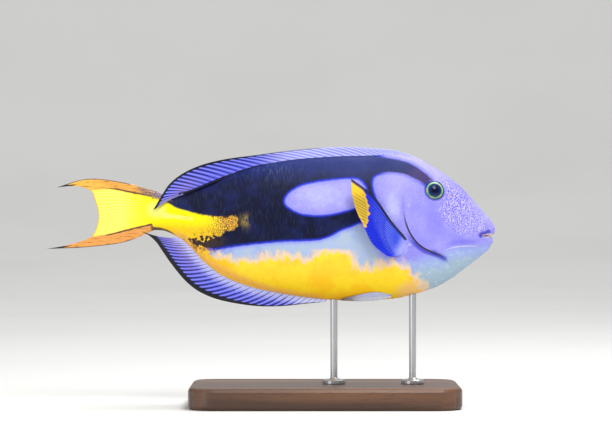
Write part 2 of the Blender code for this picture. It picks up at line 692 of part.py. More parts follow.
def build_paired_fins(fish, finish, pale_finish):
    grown = helper("grown_trunk", loft(grown_trunk_rings()), "cutters", fish)
    for name, side in (("left", 1), ("right", -1)):
        rays = pectoral_guides(side)
        fin = add_fin(f"pectoral_fin_{name}", rays, finish, fish, PECTORAL_RAYS, 7, PECTORAL_THICKNESS)
        combine(fin, "DIFFERENCE", [grown])
        rays = pelvic_guides(side)
        add_fin(f"pelvic_fin_{name}", rays, pale_finish, fish, PELVIC_RAYS, 6, PELVIC_THICKNESS)
    return grown


def build_stand(grown, wood, steel):
    shell = bmesh.new()
    bmesh.ops.create_cube(shell, size=1)
    bmesh.ops.scale(shell, vec=(BASE_LENGTH, BASE_WIDTH, BASE_HEIGHT), verts=shell.verts)
    upright = [e for e in shell.edges if abs(e.verts[0].co.z - e.verts[1].co.z) > BASE_HEIGHT / 2]
    bmesh.ops.bevel(shell, geom=upright, offset=BASE_CORNER, segments=7, profile=0.5, affect="EDGES")
    mesh = bpy.data.meshes.new("base")
    shell.to_mesh(mesh)
    shell.free()
    base = add("stand_base", mesh, wood)
    base.location = (BASE_X, 0, BASE_HEIGHT / 2)
    edge = base.modifiers.new("edge", "BEVEL")
    edge.width = BASE_EDGE
    edge.segments = 2
    edge.limit_method = "ANGLE"
    edge.angle_limit = math.radians(60)
    for name, x in ROD_X.items():
        foot = BASE_HEIGHT + TOUCH_GAP
        top = AXIS_HEIGHT + float(belly_z(x)) + ROD_REACH
        profile = (
            (0, top),
            (ROD_RADIUS, top),
            (ROD_RADIUS, foot + ROD_FOOT_HEIGHT + 0.001),
            (ROD_RADIUS + 0.001, foot + ROD_FOOT_HEIGHT),
            (ROD_FOOT_RADIUS - 0.0006, foot + ROD_FOOT_HEIGHT),
            (ROD_FOOT_RADIUS, foot + ROD_FOOT_HEIGHT - 0.0006),
            (ROD_FOOT_RADIUS, foot),
            (0, foot),
        )
        line = bpy.data.meshes.new("rod")
        edges = [(i, i + 1) for i in range(len(profile) - 1)]
        line.from_pydata([(r, 0, z) for r, z in profile], edges, [])
        rod = add(f"stand_rod_{name}", line, steel, smooth=False)
        rod.location = (x, 0, 0)
        turn = rod.modifiers.new("turn", "SCREW")
        turn.steps = turn.render_steps = 24
        turn.use_merge_vertices = True
        turn.merge_threshold = 0.00001
        combine(rod, "DIFFERENCE", [grown])
        rod.data.shade_smooth()
        rod.data.set_sharp_from_angle(angle=math.radians(40))
    remove([grown])


def main():
    clear_scene()
    for name in ("regal_blue_tang", "cutters"):
        bpy.context.scene.collection.children.link(bpy.data.collections.new(name))
    fish = bpy.data.objects.new("fish", None)
    fish.location = (0, 0, AXIS_HEIGHT)
    bpy.data.collections["regal_blue_tang"].objects.link(fish)
    skin = material("painted_skin", (0.30, 0.26, 0.80), 0.35)
    blue_fin = material("blue_fin", (0.12, 0.12, 0.75), 0.4)
    yellow_fin = material("yellow_fin", (0.95, 0.78, 0.03), 0.4)
    pale_fin = material("pale_fin", (0.55, 0.58, 0.80), 0.4)
    eye = material("eye", (0.01, 0.03, 0.08), 0.08)
    bone = material("tail_spine", (0.90, 0.86, 0.60), 0.35)
    wood = material("stand_wood", (0.06, 0.035, 0.022), 0.35)
    steel = material("stand_steel", (0.62, 0.62, 0.63), 0.3, 1.0)
    build_flesh(fish, skin)
    build_eyes(fish, eye)
    build_spines(fish, bone)
    build_median_fins(fish, blue_fin, yellow_fin)
    grown = build_paired_fins(fish, blue_fin, pale_fin)
    build_stand(grown, wood, steel)


if __name__ == "__main__":
    main()
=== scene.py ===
"""Builds the looks of a life-size regal blue tang, held on a display stand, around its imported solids."""

import math

import bmesh
import bpy
import numpy as np
from bpy.props import FloatProperty, FloatVectorProperty, IntProperty, PointerProperty
from mathutils import Matrix, Vector


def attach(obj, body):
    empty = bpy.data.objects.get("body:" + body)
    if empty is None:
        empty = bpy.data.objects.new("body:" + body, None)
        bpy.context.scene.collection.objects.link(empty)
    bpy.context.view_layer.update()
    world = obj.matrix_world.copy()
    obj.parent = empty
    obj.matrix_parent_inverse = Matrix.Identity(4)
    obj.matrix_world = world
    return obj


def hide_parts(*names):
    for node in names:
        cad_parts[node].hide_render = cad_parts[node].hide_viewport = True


bl_info = {
    "name": "Regal Blue Tang",
    "version": (1, 0, 0),
    "blender": (4, 5, 0),
    "location": "3D View > Sidebar > Blue Tang",
    "description": "Builds a painted museum model of a regal blue tang on its display stand",
    "category": "Object",
}

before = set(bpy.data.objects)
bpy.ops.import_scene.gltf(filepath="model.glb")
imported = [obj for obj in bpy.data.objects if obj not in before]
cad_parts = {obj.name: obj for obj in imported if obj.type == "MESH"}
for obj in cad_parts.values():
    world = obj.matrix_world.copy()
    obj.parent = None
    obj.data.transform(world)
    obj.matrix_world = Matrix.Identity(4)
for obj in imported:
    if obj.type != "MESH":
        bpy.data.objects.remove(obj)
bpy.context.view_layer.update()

# Every length is in metres, in the fish's own frame: +X to the snout, +Z up from its middle line.
MM = 0.001
AXIS_HEIGHT = 0.100  # the fish's middle line over the floor

# Sections of the body from the throat to the tail's root: back x and z, belly x and z, half width,
# how far the sides are drawn back, and how much they are pinched.
STATIONS = (
    (0.1200, -0.0052, 0.1200, -0.0052, 0.0000, 0.0000, 1.00),  # throat
    (0.1222, -0.0050, 0.1217, -0.0055, 0.0026, 0.0036, 1.00),
    (0.1243, -0.0045, 0.1231, -0.0062, 0.0040, 0.0066, 1.00),  # inner edge of the lips
    (0.1249, -0.0022, 0.1238, -0.0082, 0.0050, 0.0072, 1.00),  # lips
    (0.1243, 0.0005, 0.1228, -0.0106, 0.0050, 0.0068, 1.02),
    (0.1222, 0.0040, 0.1211, -0.0134, 0.0060, 0.0056, 1.05),
    (0.1189, 0.0076, 0.1180, -0.0162, 0.0070, 0.0042, 1.08),
    (0.1138, 0.0133, 0.1133, -0.0199, 0.0087, 0.0024, 1.12),  # snout
    (0.1077, 0.0201, 0.1071, -0.0246, 0.0104, 0.0010, 1.16),
    (0.0999, 0.0268, 0.0993, -0.0302, 0.0119, 0.0003, 1.20),  # nostrils
    (0.0910, 0.0327, 0.0910, -0.0346, 0.0130, 0.0000, 1.22),  # eye
    (0.0804, 0.0381, 0.0804, -0.0379, 0.0139, 0.0000, 1.24),
    (0.0692, 0.0403, 0.0692, -0.0405, 0.0144, 0.0000, 1.25),  # nape
    (0.0552, 0.0395, 0.0552, -0.0413, 0.0146, 0.0000, 1.25),
    (0.0385, 0.0391, 0.0385, -0.0415, 0.0143, 0.0000, 1.25),
    (0.0218, 0.0381, 0.0218, -0.0402, 0.0136, 0.0000, 1.25),
    (0.0050, 0.0362, 0.0050, -0.0376, 0.0124, 0.0000, 1.25),
    (-0.0117, 0.0323, -0.0117, -0.0340, 0.0107, 0.0000, 1.25),
    (-0.0257, 0.0275, -0.0257, -0.0286, 0.0088, 0.0000, 1.25),
    (-0.0368, 0.0227, -0.0368, -0.0206, 0.0070, 0.0000, 1.22),
    (-0.0452, 0.0192, -0.0452, -0.0117, 0.0055, 0.0000, 1.18),
    (-0.0519, 0.0175, -0.0519, -0.0063, 0.0045, 0.0000, 1.12),
    (-0.0586, 0.0176, -0.0586, -0.0030, 0.0037, 0.0000, 1.05),  # tail stalk
    (-0.0672, 0.0201, -0.0672, -0.0022, 0.0015, 0.0000, 0.90),  # tail root
)
FIRST_OUTER_STATION = 5  # from here back, a section is found by its place along the body
WIDEST_STATION = 12

GILL_EDGE = (
    (0.0748, 0.0424), (0.0742, 0.0285), (0.0738, 0.0145), (0.0740, 0.0061), (0.0753, 0.0006),
    (0.0778, -0.0047), (0.0809, -0.0089), (0.0848, -0.0120), (0.0893, -0.0141), (0.0938, -0.0160),
    (0.0977, -0.0190), (0.0999, -0.0246), (0.1010, -0.0357),
)  # fmt: skip
GILL_TOP_Z, GILL_BOTTOM_Z, GILL_FADE = 0.0150, -0.0190, 0.004
COVER_RISE, COVER_SPREAD = 0.0006, 0.0090
TROUGH_SINK, TROUGH_SPREAD = 0.0006, 0.0045

EYE_X, EYE_Z = 0.0907, 0.0197
EYE_RADIUS, EYE_DEPTH, EYE_SUNK = 0.0061, 0.0040, 0.0023
EYE_AXIS = Vector((0.14, 1.0, 0.20)).normalized()  # of the left eye
EYE_STATION = 10.03
BROW_RISE, BROW_SPREAD = 0.0009, 0.0085  # the swelling under the eye
NOSTRILS = ((0.0985, 0.0192, 0.0005), (0.1003, 0.0170, 0.0004))  # x, z and radius
PECTORAL_PAD = (0.0752, -0.0118)
SPINE_REAR, SPINE_TIP = (-0.0497, 0.0054), (-0.0437, 0.0038)

# Rays of the back fin: where each leaves the back, its tip's x and z, and how far the tip hangs to
# the fish's right.
DORSAL_GUIDES = (
    (0.0850, 0.0848, 0.0364, 0), (0.0800, 0.0789, 0.0391, 0),
    (0.0748, 0.0731, 0.0412, 0), (0.0720, 0.0664, 0.0426, 0), (0.0664, 0.0564, 0.0434, 0),
    (0.0580, 0.0430, 0.0441, 0), (0.0441, 0.0262, 0.0435, 0), (0.0273, 0.0089, 0.0419, 0),
    (0.0106, -0.0084, 0.0396, 0.0001), (-0.0061, -0.0257, 0.0373, 0.0003),
    (-0.0201, -0.0396, 0.0338, 0.0006), (-0.0324, -0.0502, 0.0287, 0.0012),
    (-0.0418, -0.0572, 0.0227, 0.0024), (-0.0474, -0.0614, 0.0160, 0.0038),
    (-0.0505, -0.0657, 0.0087, 0.0047),
)  # fmt: skip
ANAL_GUIDES = (
    (0.0316, 0.0300, -0.0424, 0), (0.0250, 0.0195, -0.0433, 0), (0.0170, 0.0075, -0.0446, 0),
    (0.0080, -0.0060, -0.0448, 0), (-0.0010, -0.0195, -0.0432, 0), (-0.0106, -0.0318, -0.0403, 0),
    (-0.0195, -0.0413, -0.0359, 0), (-0.0273, -0.0480, -0.0304, 0),
    (-0.0335, -0.0530, -0.0246, 0.0001), (-0.0380, -0.0572, -0.0190, 0.0003),
    (-0.0419, -0.0608, -0.0137, 0.0006), (-0.0452, -0.0642, -0.0088, 0.0012),
    (-0.0483, -0.0681, -0.0052, 0.0020), (-0.0505, -0.0720, -0.0031, 0.0026),
)  # fmt: skip
DORSAL_SAG, ANAL_SAG = -0.02, 0.055
ROOT_LEAN, ROOT_LIFT = 0.25, 0.12
FOLD_CLEARANCE = 0.0009  # between the tail's skin and the middle of the back fin's folded tip
FIN_SINK = 0.0008  # of a fin's root under the skin
COAT_DEPTH = 0.0001  # of the skin under the solids, which the scales take up

# The skin's grid: columns round it, rows over the mouth, the head and the rest, and how far from the
# gill cover's edge its close rows lie, in millimetres. The places cut finer are x, z, radius and times.
SKIN_COLUMNS, SKIN_ROWS, NEAR_GILL = 206, (26, 72, 186), (1.6, 1.0, 0.55, 0.25, 0.07)
FINER_PLACES = (
    (EYE_X, EYE_Z, 0.0085, 2), (0.0993, 0.0181, 0.0032, 3), (-0.0467, 0.0046, 0.0055, 1),
    (0.1210, -0.0052, 0.0040, 1),
)  # fmt: skip
SCALE_SEED, TILT_SEED, SCALE_JITTER = 7, 11, 0.18
TOOTH_STATION = 2.3
CAMERA_PLACE, CAMERA_LENS = (0.0195, -1.4, 0.1056), 147.5

# The tail fin's rays: the root's z, then x and z at three places out to the tip.
CAUDAL_GUIDES = (
    (0.0199, -0.0831, 0.0244, -0.1027, 0.0263, -0.1194, 0.0216),
    (0.0183, -0.0815, 0.0222, -0.0965, 0.0238, -0.1099, 0.0223),
    (0.0163, -0.0785, 0.0186, -0.0898, 0.0205, -0.1010, 0.0199),
    (0.0128, -0.0770, 0.0134, -0.0876, 0.0139, -0.0981, 0.0134),
    (0.0086, -0.0770, 0.0081, -0.0865, 0.0073, -0.0963, 0.0061),
    (0.0047, -0.0775, 0.0033, -0.0876, 0.0011, -0.0975, -0.0008),
    (0.0014, -0.0787, -0.0014, -0.0898, -0.0042, -0.1007, -0.0061),
    (-0.0008, -0.0798, -0.0053, -0.0960, -0.0085, -0.1133, -0.0106),
    (-0.0020, -0.0798, -0.0084, -0.0999, -0.0115, -0.1250, -0.0127),
)
CAUDAL_SINK = 0.0035  # of the tail fin's root inside the tail stalk

PECTORAL_GUIDES = (
    (0.0768, -0.0090, 0.0670, 0.0025, 0.0569, 0.0165, 0.0443, 0.0263),
    (0.0765, -0.0103, 0.0653, -0.0012, 0.0540, 0.0103, 0.0450, 0.0161),
    (0.0761, -0.0115, 0.0652, -0.0056, 0.0558, 0.0028, 0.0477, 0.0073),
    (0.0756, -0.0126, 0.0664, -0.0099, 0.0587, -0.0045, 0.0523, -0.0025),
    (0.0750, -0.0136, 0.0684, -0.0137, 0.0622, -0.0116, 0.0563, -0.0100),
    (0.0742, -0.0144, 0.0705, -0.0163, 0.0672, -0.0170, 0.0642, -0.0165),
)
PECTORAL_SINK = 0.0012
PECTORAL_STANDOFF = (0.0024, 0.0062, 0.0110)
PELVIC_ROOT_X, PELVIC_TIP_X, PELVIC_LIFT, PELVIC_CLEAR = 0.0668, 0.0388, 0.0008, 0.0006
PELVIC_ANGLES = (math.radians(151), math.radians(173))
PELVIC_TIP_ANGLE = math.radians(163)

# Edges of the markings as seen from the side, in millimetres from the fish's middle.
OUTLINES = {
    "black": (
        (-60, 17), (-55, 21), (-40, 30), (-17, 39), (11, 45), (38, 46), (51, 43), (56.4, 39.9),
        (63.1, 38.7), (70.9, 37.4), (77.6, 35.3), (83.1, 31.9), (87.6, 28.3), (91.0, 24.6),
        (90.4, 21.2), (86.5, 21.8), (83.7, 23.7), (79.2, 26.2), (74.8, 28.2), (69.8, 29.2),
        (63.6, 29.5), (59.2, 28.8), (56.4, 26.8), (55.8, 23.4), (56.4, 19.0), (57.8, 14.5),
        (59.2, 10.0), (57.5, 5.6), (53.0, 3.1), (48.0, 2.0), (43.5, 0.0), (38.5, -1.8),
        (33.5, -4.5), (27.3, -6.7), (19.5, -7.4), (7.3, -7.8), (-3.9, -8.7), (-12.8, -9.7),
        (-24.0, -11.2), (-32.9, -12.6), (-37.9, -12.3), (-41.9, -11.2), (-45.2, -8.9), (-51, -3),
        (-56, 6), (-62, 12),
    ),
    "ellipse": (
        (6.8, 13.4), (7.3, 15.6), (8.9, 18.1), (11.7, 20.5), (16.2, 22.9), (22.9, 24.7),
        (32.9, 26.2), (41.3, 27.0), (48.0, 26.8), (51.3, 24.8), (53.3, 21.8), (54.1, 17.9),
        (53.0, 13.4), (49.7, 10.2), (45.2, 8.6), (38.5, 6.9), (31.8, 5.5), (22.9, 5.3),
        (16.7, 6.1), (12.3, 7.9), (8.9, 10.2), (7.3, 12.0),
    ),
    "yellow": (
        (-73, 22), (-67.5, 18.1), (-61.4, 15.1), (-56.0, 12.1), (-52.5, 10.1), (-46.9, 8.5),
        (-41.3, 6.9), (-34.8, 5.6), (-30.7, 5.0), (-25.1, 5.0), (-19.5, 5.4), (-18.4, 2.2),
        (-19.5, -1.4), (-25.1, -2.6), (-27.9, -4.5), (-31.8, -5.9), (-36.8, -6.7), (-42.4, -7.0),
        (-45.8, -7.8), (-44.1, -10.6), (-39.6, -12.6), (-35.2, -14.0), (-32.4, -17.3),
        (-27.3, -19.0), (-20.1, -20.1), (-13.4, -21.2), (-7.8, -20.1), (-3.9, -17.9),
        (2.2, -18.4), (7.3, -17.9), (13.4, -19.5), (19.5, -19.5), (25.1, -16.5), (30.7, -15.1),
        (36.3, -14.5), (41.3, -15.6), (44.6, -19.5), (48.0, -23.4), (54.1, -24.8), (58.6, -22.9),
        (66.4, -22.5), (72.0, -22.9), (74.8, -25.1), (77.6, -28.5), (80.9, -31.2), (83.7, -34.0),
        (86.5, -37.9), (85, -45), (61, -48), (16, -47), (-28, -36), (-51, -20), (-62, -8), (-73, -6),
    ),
    "freckles": (
        (88.7, 27.9), (93.2, 27.9), (99.9, 24.0), (106.6, 18.4), (113.3, 11.7), (119.4, 4.5),
        (122.8, -0.6), (121.7, -3.9), (115.5, -5.6), (108.8, -6.7), (101.0, -3.9), (96.0, 0.6),
        (92.6, 6.7), (93.2, 12.3), (95.4, 16.7), (94.9, 22.3),
    ),
    "throat": (
        (97.7, -13.7), (102.7, -12.1), (108.8, -11.7), (114.4, -11.7), (120.0, -11.2),
        (125.6, -9.5), (131, -16), (111, -41), (83, -44), (69.2, -35.7), (72.0, -27.3),
        (78.7, -20.1), (87.6, -17.3), (93.2, -16.7),
    ),
    "pale_flank": (
        (-34.0, -13.4), (-24.0, -11.7), (-12.8, -10.0), (7.3, -8.4), (27.3, -7.0), (38.5, -2.2),
        (47.4, 1.7), (51.9, 0.0), (56.4, -7.8), (60.8, -16.7), (65.3, -20.1), (73.1, -20.1),
        (83.1, -23.4), (94.3, -20.1), (94, -41), (-40, -41),
    ),
    "tan_edge": (
        (-53.0, -3.3), (-47.4, -5.6), (-41.9, -11.7), (-35.7, -17.3), (-27.3, -22.3),
        (-14.5, -28.5), (-0.6, -33.5), (16.2, -37.4), (27.3, -39.6), (26, -43), (5, -39),
        (-17, -32), (-31, -25), (-42, -17), (-51, -10),
    ),
    "stalk_top": (
        (-74, 26), (-59, 22), (-55.2, 14.5), (-58.6, 13.7), (-61.9, 14.8), (-67.5, 15.6),
        (-74.2, 16.7),
    ),
    "stalk_low": (
        (-74.2, -8), (-74.2, 0.4), (-69.8, 0.2), (-64.7, -0.5), (-59.2, -1.5), (-55.0, -3.8),
        (-52.5, -7.0), (-59, -10),
    ),
    "mouth": (
        (116.4, -4.6), (119.0, -4.2), (121.8, -3.8), (124.5, -3.4), (124.2, -6.6), (121.0, -7.0),
        (118.0, -6.7),
    ),
    "fin_yellow": (
        (43.5, 27.9), (46.9, 26.5), (49.1, 23.4), (50.8, 20.1), (52.5, 16.2), (53.6, 12.8),
        (54.1, 8.9), (53.9, 5.6), (52.2, -0.6), (49.7, 2.8), (46.3, 9.5), (43.5, 15.6),
        (41.9, 22.3),
    ),
}  # fmt: skip
FIELD_STEP = 0.4  # millimetres between the places where a marking's edge is measured
FIELD_X = np.arange(-128, 134, FIELD_STEP)
FIELD_Z = np.arange(-50, 50, FIELD_STEP)


def paint(code):
    """An sRGB hex colour as linear red, green, blue and alpha."""
    shares = [int(code[i : i + 2], 16) / 255 for i in (0, 2, 4)]
    return tuple(s / 12.92 if s <= 0.04045 else ((s + 0.055) / 1.055) ** 2.4 for s in shares) + (1.0,)


def colour_setting(name, description, code):
    return FloatVectorProperty(
        name=name, description=description, subtype="COLOR", size=4, min=0, max=1, default=paint(code)
    )


def length_setting(name, description, default):
    return FloatProperty(
        name=name, description=description, default=default, min=0, precision=5, subtype="DISTANCE", unit="LENGTH"
    )


class TangSkinSettings(bpy.types.PropertyGroup):
    lavender: colour_setting("Lavender", "Cheek, shoulder and the oval on the flank", "ADA7F1")
    black: colour_setting("Black", "The palette shaped patch along the back", "060C2C")
    blue: colour_setting("Blue edge", "Bright line round the black patch", "2C38C8")
    pale: colour_setting("Pale flank", "Band between the black patch and the belly", "AABDE0")
    belly: colour_setting("Belly", "Warm yellow of the belly", "FFC81A")
    lemon: colour_setting("Tail yellow", "Lemon yellow of the tail stalk and tail fin", "FCE802")
    scale_width: length_setting("Scale width", "Spacing of the small scales", 0.0009)


class TangFinSettings(bpy.types.PropertyGroup):
    violet: colour_setting("Violet", "Back fin and belly fin", "565AE1")
    # The colour of the painted shade in the lines between the rays.
    stripe: colour_setting("Stripe", "Dark lines between the rays", "14125A")
    margin: colour_setting("Margin", "Black border of the back and belly fins", "030318")
    pectoral: colour_setting("Side fin blue", "Side fins", "0E28D6")
    lobe: colour_setting("Tail lobes", "Orange upper and lower edge of the tail fin", "F0AE4E")
    membrane: length_setting("Membrane", "Thickness of the skin between the rays", 0.00030)
    ray_sides: IntProperty(name="Ray sides", description="Faces round each ray", default=6, min=3, max=12)


class TangStageSettings(bpy.types.PropertyGroup):
    floor: colour_setting("Floor", "Floor and backdrop", "D6D5D2")
    walnut: colour_setting("Walnut", "Oiled wood of the base", "5A3A26")
    key_power: FloatProperty(name="Key light", description="Large lamp over the camera", default=11, unit="POWER")


# Shapes


def through(points, at):
    """Places on a smooth curve through the points, counted in points from 0."""
    points = np.asarray(points, float)
    gaps = np.diff(points, axis=0)
    flat = gaps.reshape(len(gaps), -1)
    steps = np.sqrt(np.linalg.norm(flat, axis=1)).reshape((-1,) + (1,) * (points.ndim - 1))
    slopes = gaps / steps
    inner = (slopes[:-1] * steps[1:] + slopes[1:] * steps[:-1]) / (steps[:-1] + steps[1:])
    tangents = np.concatenate([slopes[:1], inner, slopes[-1:]])
    at = np.clip(np.asarray(at, float), 0, len(points) - 1)
    first = np.minimum(at.astype(int), len(points) - 2)
    share = (at - first).reshape(at.shape + (1,) * (points.ndim - 1))
    run = steps[first]
    rest = 1 - share
    return (
        (1 + 2 * share) * rest**2 * points[first]
        + share * rest**2 * run * tangents[first]
        + share**2 * (3 - 2 * share) * points[first + 1]
        - share**2 * rest * run * tangents[first + 1]
    )


def smooth_step(low, high, value):
    share = np.clip((value - low) / (high - low), 0, 1)
    return share * share * (3 - 2 * share)


def hill(distance, spread):
    return np.exp(-((distance / spread) ** 2))


def unit(vectors):
    return vectors / np.linalg.norm(vectors, axis=-1, keepdims=True)


def run_along(line):
    """How far along a line of points each of them lies."""
    return np.concatenate([[0], np.cumsum(np.linalg.norm(np.diff(line, axis=0), axis=1))])


def blend_cells(grid, column, row):
    """Values between the places of a grid of numbers or points."""
    i, j = column.astype(int), row.astype(int)
    u, v = column - i, row - j
    if grid.ndim == 3:
        u, v = u[:, None], v[:, None]
    near = grid[i, j] * (1 - u) + grid[i + 1, j] * u
    far = grid[i, j + 1] * (1 - u) + grid[i + 1, j + 1] * u
    return near * (1 - v) + far * v


def section_points(at, angle, grow=0.0):
    """Points of the plain body at stations and at angles round it from the back, 0, to the belly."""
    at, angle = np.broadcast_arrays(np.asarray(at, float), np.asarray(angle, float))
    back_x, back_z, belly_x, belly_z, width, bow, pinch = np.moveaxis(through(STATIONS, at), -1, 0)
    rise, side = np.cos(angle), np.sin(angle)
    across = np.sign(side) * np.abs(side) ** pinch
    x = (back_x + belly_x) / 2 + (back_x - belly_x) / 2 * rise - bow * side**2
    z = (back_z + belly_z) / 2 + ((back_z - belly_z) / 2 + grow) * rise
    return np.stack([x, (width + np.where(width > 0, grow, 0)) * across, z], axis=-1)


def station_at(x):
    stations = np.linspace(FIRST_OUTER_STATION, len(STATIONS) - 1, 600)
    rows = through(STATIONS, stations)
    return np.interp(-np.asarray(x, float), -(rows[:, 0] + rows[:, 2]) / 2, stations)


def flank(x, z, grow=0.0):
    """Half the body's width at a place seen from the side."""
    _, back, _, belly, width, _, pinch = np.moveaxis(through(STATIONS, station_at(x)), -1, 0)
    level = np.clip((z - (back + belly) / 2) / ((back - belly) / 2 + grow), -1, 1)
    return (width + grow) * (1 - level**2) ** (pinch / 2)


def from_line(line, x, z):
    """How far places seen from the side lie from a line of points."""
    start, run = line[:-1], np.diff(line, axis=0)
    place = np.stack([x, z], axis=-1)[..., None, :]
    share = np.clip(((place - start) * run).sum(-1) / (run * run).sum(-1), 0, 1)
    return np.linalg.norm(place - start - share[..., None] * run, axis=-1).min(-1)


def gill_distance(x, z):
    """How far a place seen from the side lies ahead of the gill cover's edge."""
    edge = through(GILL_EDGE, np.linspace(0, len(GILL_EDGE) - 1, 73))
    distance = np.concatenate([from_line(edge, *part) for part in zip(*(split(v) for v in (x, z)))])
    return np.where(x > np.interp(z, edge[::-1, 1], edge[::-1, 0]), distance, -distance)


def split(values, size=8000):
    return np.array_split(values, max(1, len(values) // size))


def make_field(outline):
    """How deep each place of a grid lies inside a smooth closed outline, in millimetres."""
    count = len(outline)
    loop = np.array(outline[-2:] + outline + outline[:3], float)
    line = through(loop, np.linspace(2, count + 2, count * 5 + 1))
    x, z = (grid.ravel() for grid in np.meshgrid(FIELD_X, FIELD_Z, indexing="ij"))
    start, end = line[:-1], line[1:]
    depths = []
    for px, pz in zip(split(x), split(z)):
        crossed = (start[:, 1] > pz[:, None]) != (end[:, 1] > pz[:, None])
        rise = np.where(end[:, 1] == start[:, 1], 1e-9, end[:, 1] - start[:, 1])
        meets = start[:, 0] + (pz[:, None] - start[:, 1]) / rise * (end[:, 0] - start[:, 0])
        inside = (crossed & (px[:, None] < meets)).sum(1) % 2 == 1
        distance = from_line(line, px, pz)
        depths.append(np.where(inside, distance, -distance))
    return np.concatenate(depths).reshape(len(FIELD_X), len(FIELD_Z))


FIELDS = {name: make_field(outline) for name, outline in OUTLINES.items()}


def depth_in(name, x, z):
    """How deep places lie inside a marking, in millimetres, from x and z in metres."""
    column = np.clip((x / MM - FIELD_X[0]) / FIELD_STEP, 0, len(FIELD_X) - 1.001)
    row = np.clip((z / MM - FIELD_Z[0]) / FIELD_STEP, 0, len(FIELD_Z) - 1.001)
    return blend_cells(FIELDS[name], column, row)


def eye_frame(side, sunk=EYE_SUNK):
    """A matrix whose +Z is the eye's axis, with its origin this far under the skin."""
    skin = section_points(EYE_STATION, np.linspace(0.4, 1.5, 400))
    height = np.interp(-EYE_Z, -skin[:, 2], skin[:, 1])
    axis = Vector((EYE_AXIS.x, EYE_AXIS.y * side, EYE_AXIS.z))
    middle = Vector((EYE_X, (height + BROW_RISE) * side, EYE_Z)) - axis * sunk
    return Matrix.Translation(middle) @ axis.to_track_quat("Z", "Y").to_matrix().to_4x4()


def from_eye(points):
    """Each point's distance from the axis of the eye on its own side."""
    side = np.where(points[:, 1] < 0, -1.0, 1.0)
    middle = np.array(eye_frame(1).translation)
    axis = np.array(EYE_AXIS)
    away = points * np.stack([side * 0 + 1, side, side * 0 + 1], 1) - middle
    height = away @ axis
    return np.linalg.norm(away - height[:, None] * axis, axis=1)


def markings(points):
    """What the paint needs to know at each point of the skin, most of it in millimetres."""
    x, y, z = points.T
    depth = {name: depth_in(name, x, z) for name in OUTLINES}
    ahead = gill_distance(x, z) / MM
    gape = np.abs(z + 0.0052) / MM / (0.45 + 0.55 * smooth_step(0.1165, 0.1235, x))
    streaked = smooth_step(-0.036, -0.028, x) * (1 - smooth_step(-0.0130, -0.0115, z))
    along_chin = smooth_step(0.094, 0.103, x) * (1 - smooth_step(0.109, 0.119, x))

    def patch(at_x, at_z, radius, tall=1.0):
        """A soft round patch of colour, 1 in its middle."""
        return hill(np.hypot(x - at_x, (z - at_z) / tall), radius)

    def streak(start_x, start_z, end_x, end_z, spread):
        """A soft stroke of colour, 1 along its middle."""
        return hill(from_line(np.array([(start_x, start_z), (end_x, end_z)]), x, z), spread)

    return {
        "palette": np.minimum(depth["black"], -depth["ellipse"]),
        "rim": smooth_step(-0.0375, -0.0315, x)
        - 0.7 * smooth_step(0.058, 0.066, x) * smooth_step(0.018, 0.026, z),
        "yellow": depth["yellow"] * (1 - 0.55 * streaked),
        "freckles": depth["freckles"],
        "deep_freckles": patch(0.1045, 0.0150, 0.0100, 1.1),
        "throat": depth["throat"],
        "along_throat": smooth_step(0.5, 4.0, depth["throat"]),
        "chin_line": (0.5 - np.abs(depth["throat"] + 0.6)) * along_chin,
        "chin_shade": (2.6 - np.abs(depth["throat"] + 3.1)) * along_chin,
        "pale_flank": depth["pale_flank"],
        "tan_edge": depth["tan_edge"],
        "stalk_top": depth["stalk_top"],
        "stalk_low": depth["stalk_low"],
        "stalk_gold": smooth_step(0.0045, -0.0035, z) * (1 - smooth_step(-0.030, -0.012, x)),
        "stalk_light": patch(-0.0640, 0.0090, 0.0060, 0.9)
        + 0.9 * streak(-0.0590, 0.0058, -0.0440, 0.0042, 0.0013),
        "from_gape": np.where((np.abs(y) < 0.0042) & (x > 0.112), gape, 99),
        # Painted shade: dark blue in the crease at the corner of the mouth.
        "mouth_corner": streak(0.1168, -0.0050, 0.1210, -0.0032, 0.0018),
        # Painted shade behind the gill cover's edge: a dark line in the crease under the edge, a blue shadow
        # further back, and a blue smudge of shadow along the lower edge's end.
        "gill_line": 0.36 - np.abs(ahead + 0.2),
        "gill_blue": 1.1 - np.abs(ahead + 1.3),
        "gill_shade": smooth_step(-0.0185, -0.0150, z) * (1 - smooth_step(-0.0010, 0.0090, z)) * (ahead < 8),
        "gill_low": smooth_step(-0.0185, -0.0150, z) * (1 - smooth_step(-0.0110, -0.0020, z)) * (ahead < 8),
        "gill_end": streak(0.0900, -0.0146, 0.0962, -0.0180, 0.0019),
        "from_eye": from_eye(points) / MM,
        "under_eye": patch(0.0915, 0.0030, 0.0080, 1.4),
        "over_eye": patch(0.0840, 0.0275, 0.0090, 0.8),
        # Painted highlights: soft pale patches on the cheek, the shoulder and the flank's oval, and a small white
        # glint on the side fin's root.
        "glow": 0.65 * patch(0.0672, 0.0095, 0.0055, 2.0) + 0.4 * patch(0.0765, 0.0120, 0.0014, 1.8)
        + 0.6 * patch(0.0290, 0.0165, 0.0260, 0.45)
        + patch(0.0768, -0.0102, 0.0009),
        "fin_pad": patch(0.0732, -0.0124, 0.0040) * (1 - smooth_step(0.0752, 0.0776, x)),
        "nostril": patch(0.1000, 0.0166, 0.0010, 0.7),
        "peach": patch(0.0780, -0.0365, 0.0110, 0.7),
        "peppered": smooth_step(-0.046, -0.024, x) * smooth_step(-2.0, 0.5, depth["yellow"])
        * smooth_step(-0.0085, -0.0055, z) * (x < 0),
        "blotched": patch(-0.0375, -0.0088, 0.0100, 0.55),
        "streaked": streaked,
        "scratched": patch(-0.0142, 0.0030, 0.0026, 1.2),
        # Where the scales' strokes over the back are lighter: a painted sheen.
        "scaly_back": hill(np.hypot((x - 0.002) / 2.4, z - 0.0315), 0.0055),
        "rearward": (0.040 - x) / MM,
        "upward": z / MM,
    }


# Meshes


